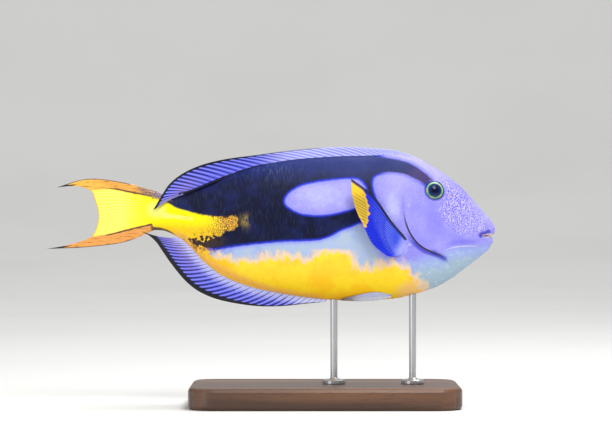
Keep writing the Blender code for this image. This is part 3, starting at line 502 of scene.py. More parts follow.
def note_values(mesh, values):
    """Keeps numbers or vectors as attributes of a mesh's points."""
    for key, value in values.items():
        value = np.asarray(value, "f4")
        kind, field = ("FLOAT_VECTOR", "vector") if value.shape[1:] == (3,) else ("FLOAT", "value")
        mesh.attributes.new(key, kind, "POINT").data.foreach_set(field, value.ravel())


def make_piece(name, points, faces, finish=None, values=None, edges=(), raised=True):
    """A mesh object at the origin, with values kept as attributes of its points."""
    points = np.asarray(points, float)
    if raised:
        points = points + (0, 0, AXIS_HEIGHT)
    mesh = bpy.data.meshes.new(name)
    mesh.from_pydata(points.tolist(), list(edges), faces)
    note_values(mesh, values or {})
    if finish:
        mesh.materials.append(finish)
    mesh.shade_smooth()
    mesh.update()
    piece = bpy.data.objects.new(name, mesh)
    bpy.context.scene.collection.objects.link(piece)
    return piece


def points_of(mesh):
    places = np.empty(len(mesh.vertices) * 3)
    mesh.vertices.foreach_get("co", places)
    return places.reshape(-1, 3)


def keep(piece, slot, *nodes):
    """Gives a finished piece its place in the model."""
    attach(piece, "root")
    if nodes:
        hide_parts(*nodes)


def grid_faces(rows, columns, start=0, closed=False):
    """Quads of a grid whose points are listed row by row."""
    i, j = np.meshgrid(np.arange(rows - 1), np.arange(columns if closed else columns - 1), indexing="ij")
    a = start + i * columns + j
    b = start + i * columns + (j + 1) % columns
    return np.stack([a, b, b + columns, a + columns], axis=-1).reshape(-1, 4).tolist()


def tip_faces(columns, count):
    """Triangles that close both ends of stacked rings. The two tips come after the rings' points."""
    last = count - columns
    faces = [[(i + 1) % columns, i, count] for i in range(columns)]
    return faces + [[last + i, last + (i + 1) % columns, count + 1] for i in range(columns)]


def slab(points, half):
    """Corners and faces of a closed sheet about a grid of points, half as thick as given."""
    along, up = np.gradient(points, axis=0), np.gradient(points, axis=1)
    out = np.cross(along, up)
    out /= np.maximum(np.linalg.norm(out, axis=-1), 1e-12)[..., None]
    rows, columns = points.shape[:2]
    count = rows * columns
    corners = np.concatenate([(points + out * half[..., None]), (points - out * half[..., None])])
    faces = grid_faces(rows, columns)
    faces += [[v + count for v in reversed(face)] for face in grid_faces(rows, columns)]
    index = np.arange(count).reshape(rows, columns)
    border = np.concatenate([index[0, :], index[1:, -1], index[-1, -2::-1], index[-2:0:-1, 0]])
    for a, b in zip(border, np.roll(border, -1)):
        faces.append([int(b), int(a), int(a) + count, int(b) + count])
    return corners.reshape(-1, 3), faces


def outward(mesh):
    """Turns every face of a closed mesh outwards."""
    shell = bmesh.new()
    shell.from_mesh(mesh)
    bmesh.ops.recalc_face_normals(shell, faces=shell.faces)
    shell.to_mesh(mesh)
    shell.free()


# Nodes


def node(tree, kind, inputs=None, **settings):
    """Adds a node with its settings. An input is a value, a socket, a node whose first output it takes,
    or the name of an attribute."""
    made = tree.nodes.new(kind)
    for name, value in settings.items():
        setattr(made, name, value)
    for name, value in (inputs or {}).items():
        socket = next(s for s in made.inputs if s.enabled and name in (s.name, s.identifier))
        if isinstance(value, str) and socket.type != "STRING":
            value = node(tree, "ShaderNodeAttribute", attribute_name=value).outputs["Fac"]
        if isinstance(value, bpy.types.Node):
            value = next(s for s in value.outputs if s.enabled)
        if isinstance(value, bpy.types.NodeSocket):
            tree.links.new(value, socket)
        else:
            socket.default_value = value
    return made


def side_view(tree):
    """Places in the model, and the same laid flat as they are seen from the side."""
    place = node(tree, "ShaderNodeTexCoord").outputs["Object"]
    return place, node(tree, "ShaderNodeMapping", {"Vector": place, "Rotation": (-math.pi / 2, 0, 0)})


def new_material(name):
    """A material with its shader, ready for nodes."""
    material = bpy.data.materials.new(name)
    material.use_nodes = True
    tree = material.node_tree
    tree.nodes.clear()
    shader = node(tree, "ShaderNodeBsdfPrincipled")
    node(tree, "ShaderNodeOutputMaterial", {"Surface": shader})
    return material, tree, shader


def lay_coats(tree, colour, coats, wander):
    """Lays coats of paint over a colour. Each names the paint, the marking, where the coat begins
    and is full in it, how far its edge wanders, and how much it hides: a value, or two to multiply."""
    for coat, place, begins, full, loose, strength in coats:
        if loose:
            place = node(
                tree, "ShaderNodeMath", {"Value": wander, "Value_001": loose, "Value_002": place},
                operation="MULTIPLY_ADD",
            )  # fmt: skip
            begins, full = begins + loose / 2, full + loose / 2
        if isinstance(strength, tuple):
            strength = node(
                tree, "ShaderNodeMath", {"Value": strength[0], "Value_001": strength[1]}, operation="MULTIPLY"
            )
        share = node(
            tree, "ShaderNodeMapRange",
            {"Value": place, "From Min": begins, "From Max": full, "To Max": strength},
            interpolation_type="SMOOTHSTEP",
        )  # fmt: skip
        colour = node(tree, "ShaderNodeMix", {"Factor": share, "A": colour, "B": coat}, data_type="RGBA")
    return colour


def skin_material():
    """Cast resin painted with an airbrush in thin coats under a satin varnish: soft-edged colour,
    a fine scaly grain and a wet shine."""
    paints = bpy.context.scene.tang_skin
    material, tree, shader = new_material("airbrushed_resin_fish_skin")
    place, flat = side_view(tree)
    # Cloudy paint that drifts over about 12 mm, a mottle over 2.5 mm and a grain over 0.8 mm.
    clouds = node(tree, "ShaderNodeTexNoise", {"Vector": place, "Scale": 80.0, "Detail": 3.0})
    mottle = node(tree, "ShaderNodeTexNoise", {"Vector": place, "Scale": 420.0, "Detail": 4.0, "Roughness": 0.6})
    grain = node(tree, "ShaderNodeTexNoise", {"Vector": place, "Scale": 1250.0, "Detail": 2.0})
    # Upright strokes under 1 mm wide and 5 mm tall where the lie of the scales shows through, and
    # broader ones along the belly's edge.
    fine_brush = node(tree, "ShaderNodeMapping", {"Vector": place, "Scale": (1300.0, 300.0, 210.0)})
    hatch = node(tree, "ShaderNodeTexNoise", {"Vector": fine_brush, "Scale": 1.0, "Detail": 2.0})
    brush = node(tree, "ShaderNodeMapping", {"Vector": place, "Scale": (360.0, 300.0, 130.0)})
    strokes = node(tree, "ShaderNodeTexNoise", {"Vector": brush, "Scale": 1.0, "Detail": 4.0, "Roughness": 0.6})
    # Dots 0.7 mm apart, one for each scale, and freckles 0.9 mm apart. They lie on a side view that is
    # let out across the forehead, so that they stay round there.
    halves = node(tree, "ShaderNodeVectorMath", {"Vector": place}, operation="ABSOLUTE")
    across = node(
        tree, "ShaderNodeMapping", {"Vector": halves, "Scale": (0, -1, 0), "Rotation": (0, 0, -math.pi / 4)}
    )
    spread = node(tree, "ShaderNodeVectorMath", {"Vector": flat, "Vector_001": across}, operation="ADD")
    dots = node(
        tree, "ShaderNodeTexVoronoi", {"Vector": spread, "Scale": 1450.0, "Randomness": 0.95},
        voronoi_dimensions="2D",
    )  # fmt: skip
    spots = node(
        tree, "ShaderNodeTexVoronoi", {"Vector": spread, "Scale": 1150.0, "Randomness": 0.95},
        voronoi_dimensions="2D",
    )  # fmt: skip

    lavender = node(
        tree, "ShaderNodeMix", {"Factor": clouds, "A": paint("7A75E4"), "B": paints.lavender}, data_type="RGBA"
    )
    pale = lay_coats(tree, paints.pale, (
        (paint("B5C4C4"), strokes, 0.40, 0.70, 0, 0.6),
        (paint("88A2DE"), clouds, 0.52, 0.68, 0, 0.7),
    ), mottle)  # fmt: skip
    colour = lay_coats(tree, lavender, (
        (paint("CDCFF9"), grain, 0.50, 0.72, 0, 0.2),
        # A pale coat over the painted highlights.
        (paint("CDD0FA"), "glow", 0.2, 0.9, 0.4, 0.6),
        (paint("7C74E6"), "under_eye", 0.3, 1.0, 0.7, 0.45),
        (pale, "pale_flank", -4.0, 3.0, 7.0, 1.0),
        (paint("9DAFE6"), "throat", -3.5, 3.0, 5.0, 1.0),
        (paint("A6C0CC"), "throat", 1.5, 9.0, 9.0, 0.85),
        (paint("CDD9EE"), mottle, 0.50, 0.72, 0, ("along_throat", 0.5)),
        (paint("7771E6"), "chin_shade", 0.0, 2.4, 1.6, 0.6),
        (paint("EDE4F2"), "chin_line", 0.0, 0.4, 0.4, 0.6),
        (paint("DDA640"), "blotched", 0.15, 0.5, 0.5, 1.0),
        (paint("7C80F0"), "palette", -3.6, -0.9, 2.0, ("rim", 0.5)),
        (paints.blue, "palette", -1.5, -0.5, 0.8, ("rim", 1.0)),
        (paint("101C70"), "palette", -0.4, 0.3, 0.8, ("rim", 1.0)),
    ), mottle)  # fmt: skip

    # Navy to slate black, with faint upright strokes of grey-green.
    black = lay_coats(tree, paints.black, (
        (paint("121C50"), clouds, 0.42, 0.66, 0, 0.85),
        (paint("313D4E"), hatch, 0.50, 0.78, 0, 0.4),
        (paint("20307A"), "upward", 20.0, 37.0, 12.0, 0.65),
        # Lighter grey-green strokes over the back: the scales' texture with a painted sheen.
        (paint("5C6878"), hatch, 0.46, 0.74, 0, ("scaly_back", 0.3)),
        (paint("43306A"), "over_eye", 0.15, 0.9, 0.3, 0.75),
        (paint("3A2C2A"), "blotched", 0.1, 0.7, 1.2, 0.9),
        (paint("A8923C"), strokes, 0.42, 0.58, 0, ("scratched", 0.8)),
    ), mottle)  # fmt: skip
    colour = lay_coats(tree, colour, ((black, "palette", 0.0, 1.1, 0.8, 1.0),), mottle)

    # The yellow's edge runs out in blots over the rear of the black and in strokes along the belly.
    edge = "yellow"
    clumps = node(tree, "ShaderNodeTexNoise", {"Vector": place, "Scale": 560.0, "Detail": 3.0})
    runs = ((clumps, "blotched", 20.0), (mottle, "peppered", 5.0), (strokes, "streaked", 6.0))
    for pattern, name, reach in runs:
        swing = node(
            tree, "ShaderNodeMath", {"Value": pattern, "Value_001": reach, "Value_002": -0.5 * reach},
            operation="MULTIPLY_ADD",
        )  # fmt: skip
        edge = node(
            tree, "ShaderNodeMath", {"Value": swing, "Value_001": name, "Value_002": edge},
            operation="MULTIPLY_ADD",
        )  # fmt: skip
    gold = lay_coats(tree, paints.belly, (
        (paint("FFDF26"), clouds, 0.40, 0.60, 0, 0.75),
        (paint("FFE450"), "upward", -33.0, -22.0, 8.0, 0.35),
        (paint("F9BE22"), mottle, 0.50, 0.78, 0, 0.4),
        (paint("F4A92C"), "upward", -34.5, -43.0, 5.0, 0.6),
        (paint("F8C880"), "peach", 0.3, 1.0, 0.3, 0.8),
        (paint("E3A740"), "peppered", 0.55, 1.0, 0.3, 0.85),
        (paints.lemon, "rearward", 64.0, 78.0, 8.0, 1.0),
        (paint("EDB638"), "blotched", 0.15, 0.8, 0.5, 0.85),
        (paint("F8C41C"), "stalk_gold", 0.1, 1.0, 0.5, 0.85),
        (paint("FCF88A"), "stalk_light", 0.2, 0.9, 0.5, 0.7),
        (paint("F6B850"), "tan_edge", -2.0, 1.5, 3.0, 0.9),
        (paint("D9973A"), "tan_edge", 1.2, 3.2, 3.0, 0.6),
    ), mottle)  # fmt: skip
    # The dots of pepper are wider towards the front.
    pepper = node(
        tree, "ShaderNodeMath", {"Value": "peppered", "Value_001": -0.25, "Value_002": dots},
        operation="MULTIPLY_ADD",
    )  # fmt: skip
    colour = lay_coats(tree, colour, (
        (paint("F7D5A4"), edge, -2.6, -0.5, 1.5, ("streaked", 0.85)),
        (paint("B07A28"), edge, -0.9, 0.0, 0.6, ("peppered", 0.8)),
        (gold, edge, -0.6, 0.6, 0.8, 1.0),
        (paint("241A2C"), pepper, 0.20, 0.08, 0.35, ("peppered", 0.9)),
        (paint("35272A"), clumps, 0.51, 0.43, 0, ("blotched", 0.95)),
        (paint("9A7C70"), "stalk_top", -0.8, 0.6, 2.0, 0.75),
        (paint("2E2133"), "stalk_low", -0.6, 0.6, 1.2, 0.9),
    ), mottle)  # fmt: skip
    banded = node(tree, "ShaderNodeMapRange", {"Value": "stalk_top", "From Min": -0.6, "From Max": 0.6})
    freckled = node(
        tree, "ShaderNodeMapRange", {"Value": "freckles", "From Min": -2.5, "From Max": 4.5},
        interpolation_type="SMOOTHSTEP",
    )  # fmt: skip
    cream = lay_coats(tree, paint("DCD6F8"), (
        (paint("F4E4AE"), spots.outputs["Color"], 0.50, 0.62, 0, 0.75),
    ), mottle)  # fmt: skip
    # Lines that spread from the side fin's root like the ribs of a fan, 9 degrees apart.
    fan_place = node(
        tree, "ShaderNodeMapping", {"Vector": flat, "Location": (-0.0772, -AXIS_HEIGHT + 0.0104, 0)}
    )
    fan = node(tree, "ShaderNodeTexGradient", {"Vector": fan_place}, gradient_type="RADIAL")
    ribs = node(tree, "ShaderNodeMath", {"Value": fan, "Value_001": 0.0130}, operation="PINGPONG")
    colour = lay_coats(tree, colour, (
        (paint("33293A"), dots, 0.46, 0.32, 0, (banded, 0.9)),
        (paint("847CE6"), "freckles", -1.0, 3.0, 5.0, 0.45),
        (paint("5A4ECC"), spots, 0.36, 0.54, 0.5, ("deep_freckles", 0.9)),
        (cream, spots, 0.46, 0.14, 0.8, (freckled, 0.66)),
        (paint("F6CE9C"), "nostril", 0.3, 0.9, 0.2, 0.6),
        # Painted shade and shadow in the crease behind the gill cover's edge.
        (paint("2C34C8"), "gill_blue", -1.0, 0.6, 0.5, ("gill_low", 0.75)),
        (paint("2C34C8"), "gill_end", 0.1, 1.0, 0.4, 0.7),
        (paint("4A3840"), "gill_line", -0.2, 0.15, 0.2, "gill_shade"),
        (paint("A3A6F5"), "fin_pad", 0.3, 0.8, 0.2, 0.7),
        (paint("DADDFB"), ribs, 0.0070, 0.0125, 0, ("fin_pad", 0.3)),
        # Painted shade in the mouth's corner.
        (paint("3A38B4"), "mouth_corner", 0.25, 0.85, 0.2, 0.85),
        (paint("3C3C9C"), "from_gape", 1.7, 1.1, 0.3, 0.6),
        (paint("CFB2C4"), "from_gape", 0.95, 0.75, 0.1, 1.0),
        (paint("2D35C0"), "from_eye", 6.3, 5.6, 0.5, 0.6),
        (paint("15164A"), "from_eye", 5.5, 5.15, 0.2, 0.9),
    ), mottle)  # fmt: skip

    # The grain of the small scales, and the brush's strokes, as bump of a few hundredths of a millimetre.
    scaly = node(
        tree, "ShaderNodeBump", {"Height": dots, "Strength": 0.3, "Distance": 0.0001}, invert=True
    )
    fine = node(
        tree, "ShaderNodeBump", {"Height": hatch, "Strength": 0.3, "Distance": 0.0002, "Normal": scaly}
    )
    rough = node(tree, "ShaderNodeMapRange", {"Value": mottle, "From Min": 0.3, "From Max": 0.7,
                                              "To Min": 0.40, "To Max": 0.54})  # fmt: skip
    shine(tree, shader, colour, rough, fine, coat=0.07, coat_rough=0.25, gloss=0.13)
    return material


def shine(tree, shader, colour, rough, normal=None, coat=0.0, coat_rough=0.1, gloss=0.5):
    """Links a finished colour to its shader and sets the varnish over it."""
    tree.links.new(next(s for s in colour.outputs if s.enabled), shader.inputs["Base Color"])
    if isinstance(rough, float):
        shader.inputs["Roughness"].default_value = rough
    else:
        tree.links.new(rough.outputs[0], shader.inputs["Roughness"])
    if normal:
        tree.links.new(normal.outputs[0], shader.inputs["Normal"])
    shader.inputs["Coat Weight"].default_value = coat
    shader.inputs["Coat Roughness"].default_value = coat_rough
    shader.inputs["Specular IOR Level"].default_value = gloss


def eye_material():
    """A glass taxidermy eye, painted behind and polished in front: deep colour under a sharp shine."""
    material, tree, shader = new_material("painted_glass_eye")
    squeezed = node(tree, "ShaderNodeMath", {"Value": "out", "Value_001": 0.35}, operation="MULTIPLY")
    polar = node(tree, "ShaderNodeCombineXYZ", {"X": "turn", "Y": squeezed})
    # Fibres of the iris, about 0.3 mm apart.
    fibres = node(tree, "ShaderNodeTexNoise", {"Vector": polar, "Scale": 14.0, "Detail": 4.0})
    patches = node(tree, "ShaderNodeTexNoise", {"Vector": polar, "Scale": 1.6, "Detail": 1.0})
    ring = lay_coats(tree, paint("5DA09A"), ((paint("B9C470"), patches, 0.30, 0.66, 0, 1.0),), fibres)
    colour = lay_coats(tree, paint("020128"), (
        (paint("071C5E"), "out", 1.80, 2.1, 0.2, 0.9),
        (paint("05194A"), "out", 2.2, 2.7, 0.6, 1.0),
        (paint("0A4260"), "out", 2.7, 3.5, 1.6, 0.9),
        (paint("0A3A50"), "out", 3.4, 3.7, 0.6, 0.7),
        (ring, "out", 3.65, 4.15, 0.8, 1.0),
        (paint("4F8C88"), "out", 4.45, 4.7, 0.4, 0.6),
        (paint("141E50"), "out", 4.75, 4.92, 0.2, 1.0),
    ), fibres)  # fmt: skip
    shine(tree, shader, colour, 0.25, coat=0.2, coat_rough=0.03, gloss=0.15)
    return material


def bone_material(name, dark, light):
    """Cast resin painted as bone and lightly polished: a pale body colour clouded over 1 mm."""
    material, tree, shader = new_material(name)
    place = node(tree, "ShaderNodeTexCoord").outputs["Object"]
    grain = node(tree, "ShaderNodeTexNoise", {"Vector": place, "Scale": 900.0, "Detail": 3.0})
    colour = node(
        tree, "ShaderNodeMix", {"Factor": grain, "A": paint(dark), "B": paint(light)}, data_type="RGBA"
    )
    shine(tree, shader, colour, 0.35, coat=0.2, coat_rough=0.15)
    return material


def fin_material(name, base, coats):
    """Thin cast resin fins, sprayed with clear tinted lacquer: even colour, glossy ridges on the rays."""
    material, tree, shader = new_material(name)
    place = node(tree, "ShaderNodeTexCoord").outputs["Object"]
    mottle = node(tree, "ShaderNodeTexNoise", {"Vector": place, "Scale": 350.0, "Detail": 3.0})
    colour = lay_coats(tree, base, coats(tree) if callable(coats) else coats, mottle)
    fine = node(tree, "ShaderNodeBump", {"Height": mottle, "Strength": 0.3, "Distance": 0.0001})
    shine(tree, shader, colour, 0.38, fine, coat=0.15, coat_rough=0.15, gloss=0.3)
    return material


def stand_materials():
    """Walnut, planed and oiled: dark grain lines along the board under a soft sheen.
    Stainless steel rod, ground and brushed along its length: grey with fine lengthwise scratches."""
    stage = bpy.context.scene.tang_stage
    wood, tree, shader = new_material("oiled_walnut")
    place = node(tree, "ShaderNodeTexCoord").outputs["Object"]
    board = node(tree, "ShaderNodeMapping", {"Vector": place, "Scale": (9.0, 110.0, 110.0)})
    wander = node(tree, "ShaderNodeTexNoise", {"Vector": board, "Scale": 0.6, "Detail": 3.0})
    rings = node(
        tree, "ShaderNodeTexWave",
        {"Vector": board, "Scale": 0.35, "Distortion": 5.0, "Detail": 3.0, "Detail Scale": 1.4},
        bands_direction="Y",
    )  # fmt: skip
    pores = node(tree, "ShaderNodeMapping", {"Vector": place, "Scale": (140.0, 2600.0, 2600.0)})
    pore = node(tree, "ShaderNodeTexNoise", {"Vector": pores, "Scale": 1.0, "Detail": 2.0})
    colour = lay_coats(tree, stage.walnut, (
        (paint("3B2417"), rings, 0.35, 0.95, 0.3, 0.8),
        (paint("7A5236"), wander, 0.52, 0.72, 0, 0.5),
        (paint("22130C"), pore, 0.60, 0.70, 0, 0.6),
    ), wander)  # fmt: skip
    bump = node(tree, "ShaderNodeBump", {"Height": pore, "Strength": 0.25, "Distance": 0.0001}, invert=True)
    rough = node(tree, "ShaderNodeMapRange", {"Value": rings, "To Min": 0.34, "To Max": 0.46})
    shine(tree, shader, colour, rough, bump, coat=0.15, coat_rough=0.3)

    steel, tree, shader = new_material("brushed_stainless_steel")
    place = node(tree, "ShaderNodeTexCoord").outputs["Object"]
    lengthwise = node(tree, "ShaderNodeMapping", {"Vector": place, "Scale": (6000.0, 6000.0, 120.0)})
    scratches = node(tree, "ShaderNodeTexNoise", {"Vector": lengthwise, "Scale": 1.0, "Detail": 3.0})
    colour = node(
        tree, "ShaderNodeMix", {"Factor": scratches, "A": paint("A9ABAE"), "B": paint("D3D4D6")},
        data_type="RGBA",
    )  # fmt: skip
    rough = node(tree, "ShaderNodeMapRange", {"Value": scratches, "To Min": 0.22, "To Max": 0.42})
    bump = node(tree, "ShaderNodeBump", {"Height": scratches, "Strength": 0.2, "Distance": 0.00005})
    shader.inputs["Metallic"].default_value = 1.0
    shine(tree, shader, colour, rough, bump)
    return wood, steel


# Body


def gill_stations(angles, ahead):
    """For each angle, the station that lies this far ahead of the gill cover's edge."""
    stations = np.linspace(7.5, 13.5, 240)
    found = []
    for angle in angles:
        points = section_points(stations, angle)
        found.append(np.interp(-ahead, -gill_distance(points[:, 0], points[:, 2]), stations))
    return np.array(found)


def body_grid(columns, mouth_rows, head_rows, rear_rows, near_gill):
    """Stations and angles of a grid over the whole body, with a row along the gill cover's edge."""
    turn = np.linspace(0, math.pi, 721)
    girth = section_points(WIDEST_STATION, turn)
    run = run_along(girth)
    half = np.interp(np.linspace(0, run[-1], columns // 2 + 1), run, turn)
    rows = [np.full(len(half), at) for at in np.linspace(0, FIRST_OUTER_STATION, mouth_rows + 1)[1:]]
    ahead = np.array(near_gill) * MM

    def place_of(at):
        line = through(STATIONS, at)
        return (line[:, 0] + line[:, 2]) / 2

    front, near, end = place_of(rows[-1]), gill_stations(half, ahead[0]), STATIONS[-1][0]
    for share in np.linspace(0, 1, head_rows + 1)[1:-1]:
        rows.append(station_at(front + (place_of(near) - front) * share))
    rows += [gill_stations(half, distance) for distance in (*ahead, *-ahead[::-1])]
    last = place_of(rows[-1])
    for share in np.linspace(0, 1, rear_rows + 1)[1:]:
        rows.append(station_at(last + (end - last) * share))
    stations = np.stack(rows)
    return np.hstack([stations, stations[:, -2:0:-1]]), np.concatenate([half, 2 * math.pi - half[-2:0:-1]])


def raise_relief(points):
    """Adds to the plain body the swellings, folds and pits of the skin."""
    x, y, z = points.T
    side = np.where(y < 0, -1.0, 1.0)
    half = np.maximum(flank(x, z * 0 + 0.002), 0.002)
    lean = smooth_step(0, 0.42, np.abs(y) / half) * (x < 0.1215)
    ahead = gill_distance(x, z)
    opening = smooth_step(GILL_BOTTOM_Z - GILL_FADE, GILL_BOTTOM_Z + GILL_FADE, z) * (
        1 - smooth_step(GILL_TOP_Z - GILL_FADE, GILL_TOP_Z + GILL_FADE, z)
    )
    cover = COVER_RISE * hill(ahead, COVER_SPREAD) + 0.00012 * hill(ahead - 0.0009, 0.0006)
    trough = -TROUGH_SINK * hill(ahead, TROUGH_SPREAD)
    raised = BROW_RISE * hill(np.hypot(x - EYE_X, z - EYE_Z), BROW_SPREAD)
    raised += np.where(ahead > 0, cover, trough) * opening
    pad_x, pad_z = PECTORAL_PAD
    raised += 0.0009 * hill(np.hypot((x - pad_x) * 1.3, (z - pad_z) * 0.8), 0.0038)
    # A faint groove along the jaw and the cheek's lower edge.
    jaw = np.abs(depth_in("throat", x, z)) * MM
    raised -= 0.00022 * hill(jaw, 0.0009) * smooth_step(0.098, 0.104, x) * (x < 0.121)
    moved = points.copy()
    moved[:, 1] += side * raised * lean

    for sign in (1, -1):
        frame_of_eye = eye_frame(sign, 0)
        middle, axis = np.array(frame_of_eye.translation), np.array(frame_of_eye.col[2])[:3]
        away = moved - middle
        height = away @ axis
        out = np.linalg.norm(away - height[:, None] * axis, axis=1)
        near = (side == sign) & (np.abs(height) < 0.006)
        rim = 0.00050 * hill(out - 0.0053, 0.00055) + 0.00035 * hill(np.maximum(out - 0.0053, 0), 0.0020)
        socket = -0.0036 * (1 - smooth_step(0.0044, 0.00495, out))
        rim *= smooth_step(0.0046, 0.0051, out)
        moved += (near * (rim + socket))[:, None] * axis
    for nostril_x, nostril_z, radius in NOSTRILS:
        out = np.hypot(x - nostril_x, z - nostril_z)
        pit = -0.0008 * (1 - smooth_step(radius * 0.5, radius, out)) + 0.0002 * hill(out - radius * 1.35, 0.00022)
        moved[:, 1] += side * pit * (np.abs(y) > 0.006)
    line = np.array([SPINE_REAR, SPINE_TIP])
    out = from_line(line, x, z)
    sheath = -0.0004 * (1 - smooth_step(0.0006, 0.0013, out)) + 0.00016 * hill(out - 0.0016, 0.0006)
    moved[:, 1] += side * sheath * (x < -0.040)
    return moved


def refine(mesh, spots):
    """Halves the faces near some places seen from the side; each spot is x, z, radius and times."""
    shell = bmesh.new()
    shell.from_mesh(mesh)
    for level in range(max(times for *_, times in spots)):
        chosen = set()
        for x, z, radius, times in spots:
            if level >= times:
                continue
            reach = radius * (1.0 if level == 0 else 0.8)
            for face in shell.faces:
                middle = face.calc_center_median()
                if math.hypot(middle.x - x, middle.z - z) < reach:
                    chosen.update(face.edges)
        bmesh.ops.subdivide_edges(shell, edges=list(chosen), cuts=1, use_grid_fill=True)
    shell.to_mesh(mesh)
    shell.free()


def build_skin():
    stations, angles = body_grid(SKIN_COLUMNS, *SKIN_ROWS, NEAR_GILL)
    rows, columns = stations.shape
    grid = section_points(stations, angles[None, :], -COAT_DEPTH)
    pole = section_points(0, 0)[None, :]
    points = np.concatenate([grid.reshape(-1, 3), pole])
    faces = grid_faces(rows, columns, closed=True)
    faces += [[(i + 1) % columns, i, rows * columns] for i in range(columns)]
    last = (rows - 1) * columns
    for i in range(columns // 2):
        rung = [last + i, last + i + 1, last + columns - i - 1, last + (columns - i) % columns]
        faces.append(list(dict.fromkeys(rung)))
    piece = make_piece("body_skin", points, faces, skin_material(), raised=False)
    refine(piece.data, FINER_PLACES)
    outward(piece.data)
    dress(piece.data, raise_relief(points_of(piece.data)))
    keep(piece, "skin", "head", "trunk", "tail")


def dress(mesh, points):
    """Places a mesh's points and gives them the skin's markings."""
    note_values(mesh, markings(points))
    mesh.vertices.foreach_set("co", (points + (0, 0, AXIS_HEIGHT)).astype("f4").ravel())
    mesh.update()


# Eyes, tail spines and teeth


def build_eyes():
    finish = eye_material()
    rows, columns = 56, 96
    lean = np.linspace(0, math.pi, rows + 1)[1:-1]
    around = np.linspace(0, 2 * math.pi, columns, endpoint=False)
    out = EYE_RADIUS * np.sin(lean)
    height = EYE_DEPTH * np.cos(lean)
    # The cornea stands a little higher over the pupil.
    height += 0.00025 * hill(out, 0.0024) * (lean < math.pi / 2)
    x = out[:, None] * np.cos(around)
    y = out[:, None] * np.sin(around)
    z = np.repeat(height[:, None], columns, axis=1)
    local = np.stack([x, y, z], axis=-1).reshape(-1, 3)
    local = np.concatenate([local, [[0, 0, EYE_DEPTH + 0.00025], [0, 0, -EYE_DEPTH]]])
    count = len(lean) * columns
    faces = grid_faces(len(lean), columns, closed=True) + tip_faces(columns, count)
    values = {
        "out": np.linalg.norm(local[:, :2], axis=1) / MM,
        "turn": np.abs(np.arctan2(local[:, 1], local[:, 0])),
    }
    for name, side in (("left", 1), ("right", -1)):
        place = np.array(eye_frame(side))
        points = local @ place[:3, :3].T + place[:3, 3]
        piece = make_piece(f"eyeball_{name}", points, faces, finish, values)
        outward(piece.data)
        keep(piece, "eye", f"eye_{name}")


def build_tail_spines():
    """A slim, pointed blade on each side of the tail stalk, folded forward into its sheath."""
    finish = bone_material("polished_resin_bone", "F7E250", "FDF07A")
    rear, tip = Vector((SPINE_REAR[0], 0, SPINE_REAR[1])), Vector((SPINE_TIP[0], 0, SPINE_TIP[1]))
    columns, shares = 20, np.linspace(0, 1, 29)
    turn = np.linspace(0, 2 * math.pi, columns, endpoint=False)
    deep = 0.00050 * (1 - shares) ** 0.65 * smooth_step(-0.25, 0.2, shares) + 0.00002
    thick = 0.00036 * (1 - shares**2.2) ** 0.7 * smooth_step(-0.1, 0.25, shares) + 0.00002
    for name, side in (("left", 1), ("right", -1)):
        rings = []
        for share, up, across in zip(shares, deep, thick):
            middle = rear + (tip - rear) * share
            middle.z += 0.0003 * math.sin(math.pi * share)
            level = float(flank(middle.x, middle.z)) + 0.00012
            ring = [
                (middle.x, side * (level + across * math.cos(a)), middle.z + up * math.sin(a)) for a in turn
            ]
            rings.append(ring)
        points = np.array(rings).reshape(-1, 3)
        ends = [points[:columns].mean(0), points[-columns:].mean(0) + (0.0002, 0, 0)]
        faces = grid_faces(len(shares), columns, closed=True) + tip_faces(columns, len(points))
        piece = make_piece(f"scalpel_{name}", np.concatenate([points, ends]), faces, finish)
        outward(piece.data)
        keep(piece, "tail_spine", f"tail_spine_{name}")


def new_tree(name, sockets, result):
    """A geometry tree with named inputs."""
    tree = bpy.data.node_groups.new(name, "GeometryNodeTree")
    for label, kind in sockets:
        tree.interface.new_socket(label, in_out="INPUT", socket_type=f"NodeSocket{kind}")
    tree.interface.new_socket(result, in_out="OUTPUT", socket_type="NodeSocketGeometry")
    return tree, node(tree, "NodeGroupInput")


def finish_tree(tree, geometry, given, result, smooth=True):
    shaded = node(tree, "GeometryNodeSetShadeSmooth", {"Geometry": geometry, "Shade Smooth": smooth})
    real = node(tree, "GeometryNodeRealizeInstances", {"Geometry": shaded})
    painted = node(tree, "GeometryNodeSetMaterial", {"Geometry": real, "Material": given.outputs["Finish"]})
    node(tree, "NodeGroupOutput", {result: painted})
    return tree


def grow(name, source, tree, values):
    """Runs a geometry tree on an object and keeps the plain mesh that it makes."""
    modifier = source.modifiers.new("grow", "NODES")
    modifier.node_group = tree
    for item in tree.interface.items_tree:
        if item.item_type == "SOCKET" and item.in_out == "INPUT" and item.name in values:
            modifier[item.identifier] = values[item.name]
    bpy.context.view_layer.update()
    graph = bpy.context.evaluated_depsgraph_get()
    mesh = bpy.data.meshes.new_from_object(source.evaluated_get(graph))
    bpy.data.objects.remove(source)
    mesh.name = name
    if not mesh.polygons:
        raise RuntimeError(f"{name} has no faces")
    piece = bpy.data.objects.new(name, mesh)
    bpy.context.scene.collection.objects.link(piece)
    outward(mesh)
    return piece


def ray_tree():
    """Tubes along a fin's ray lines, as thick as each point says."""
    tree, given = new_tree("fin_rays", (("Lines", "Geometry"), ("Sides", "Int"), ("Finish", "Material")), "Rays")
    radius = node(tree, "GeometryNodeInputNamedAttribute", {"Name": "radius"}, data_type="FLOAT")
    curve = node(tree, "GeometryNodeMeshToCurve", {"Mesh": given.outputs["Lines"]})
    ring = node(
        tree, "GeometryNodeCurvePrimitiveCircle", {"Resolution": given.outputs["Sides"], "Radius": 1.0}
    )
    tube = node(
        tree, "GeometryNodeCurveToMesh",
        {"Curve": curve, "Profile Curve": ring, "Scale": radius, "Fill Caps": True},
    )  # fmt: skip
    return finish_tree(tree, tube, given, "Rays")


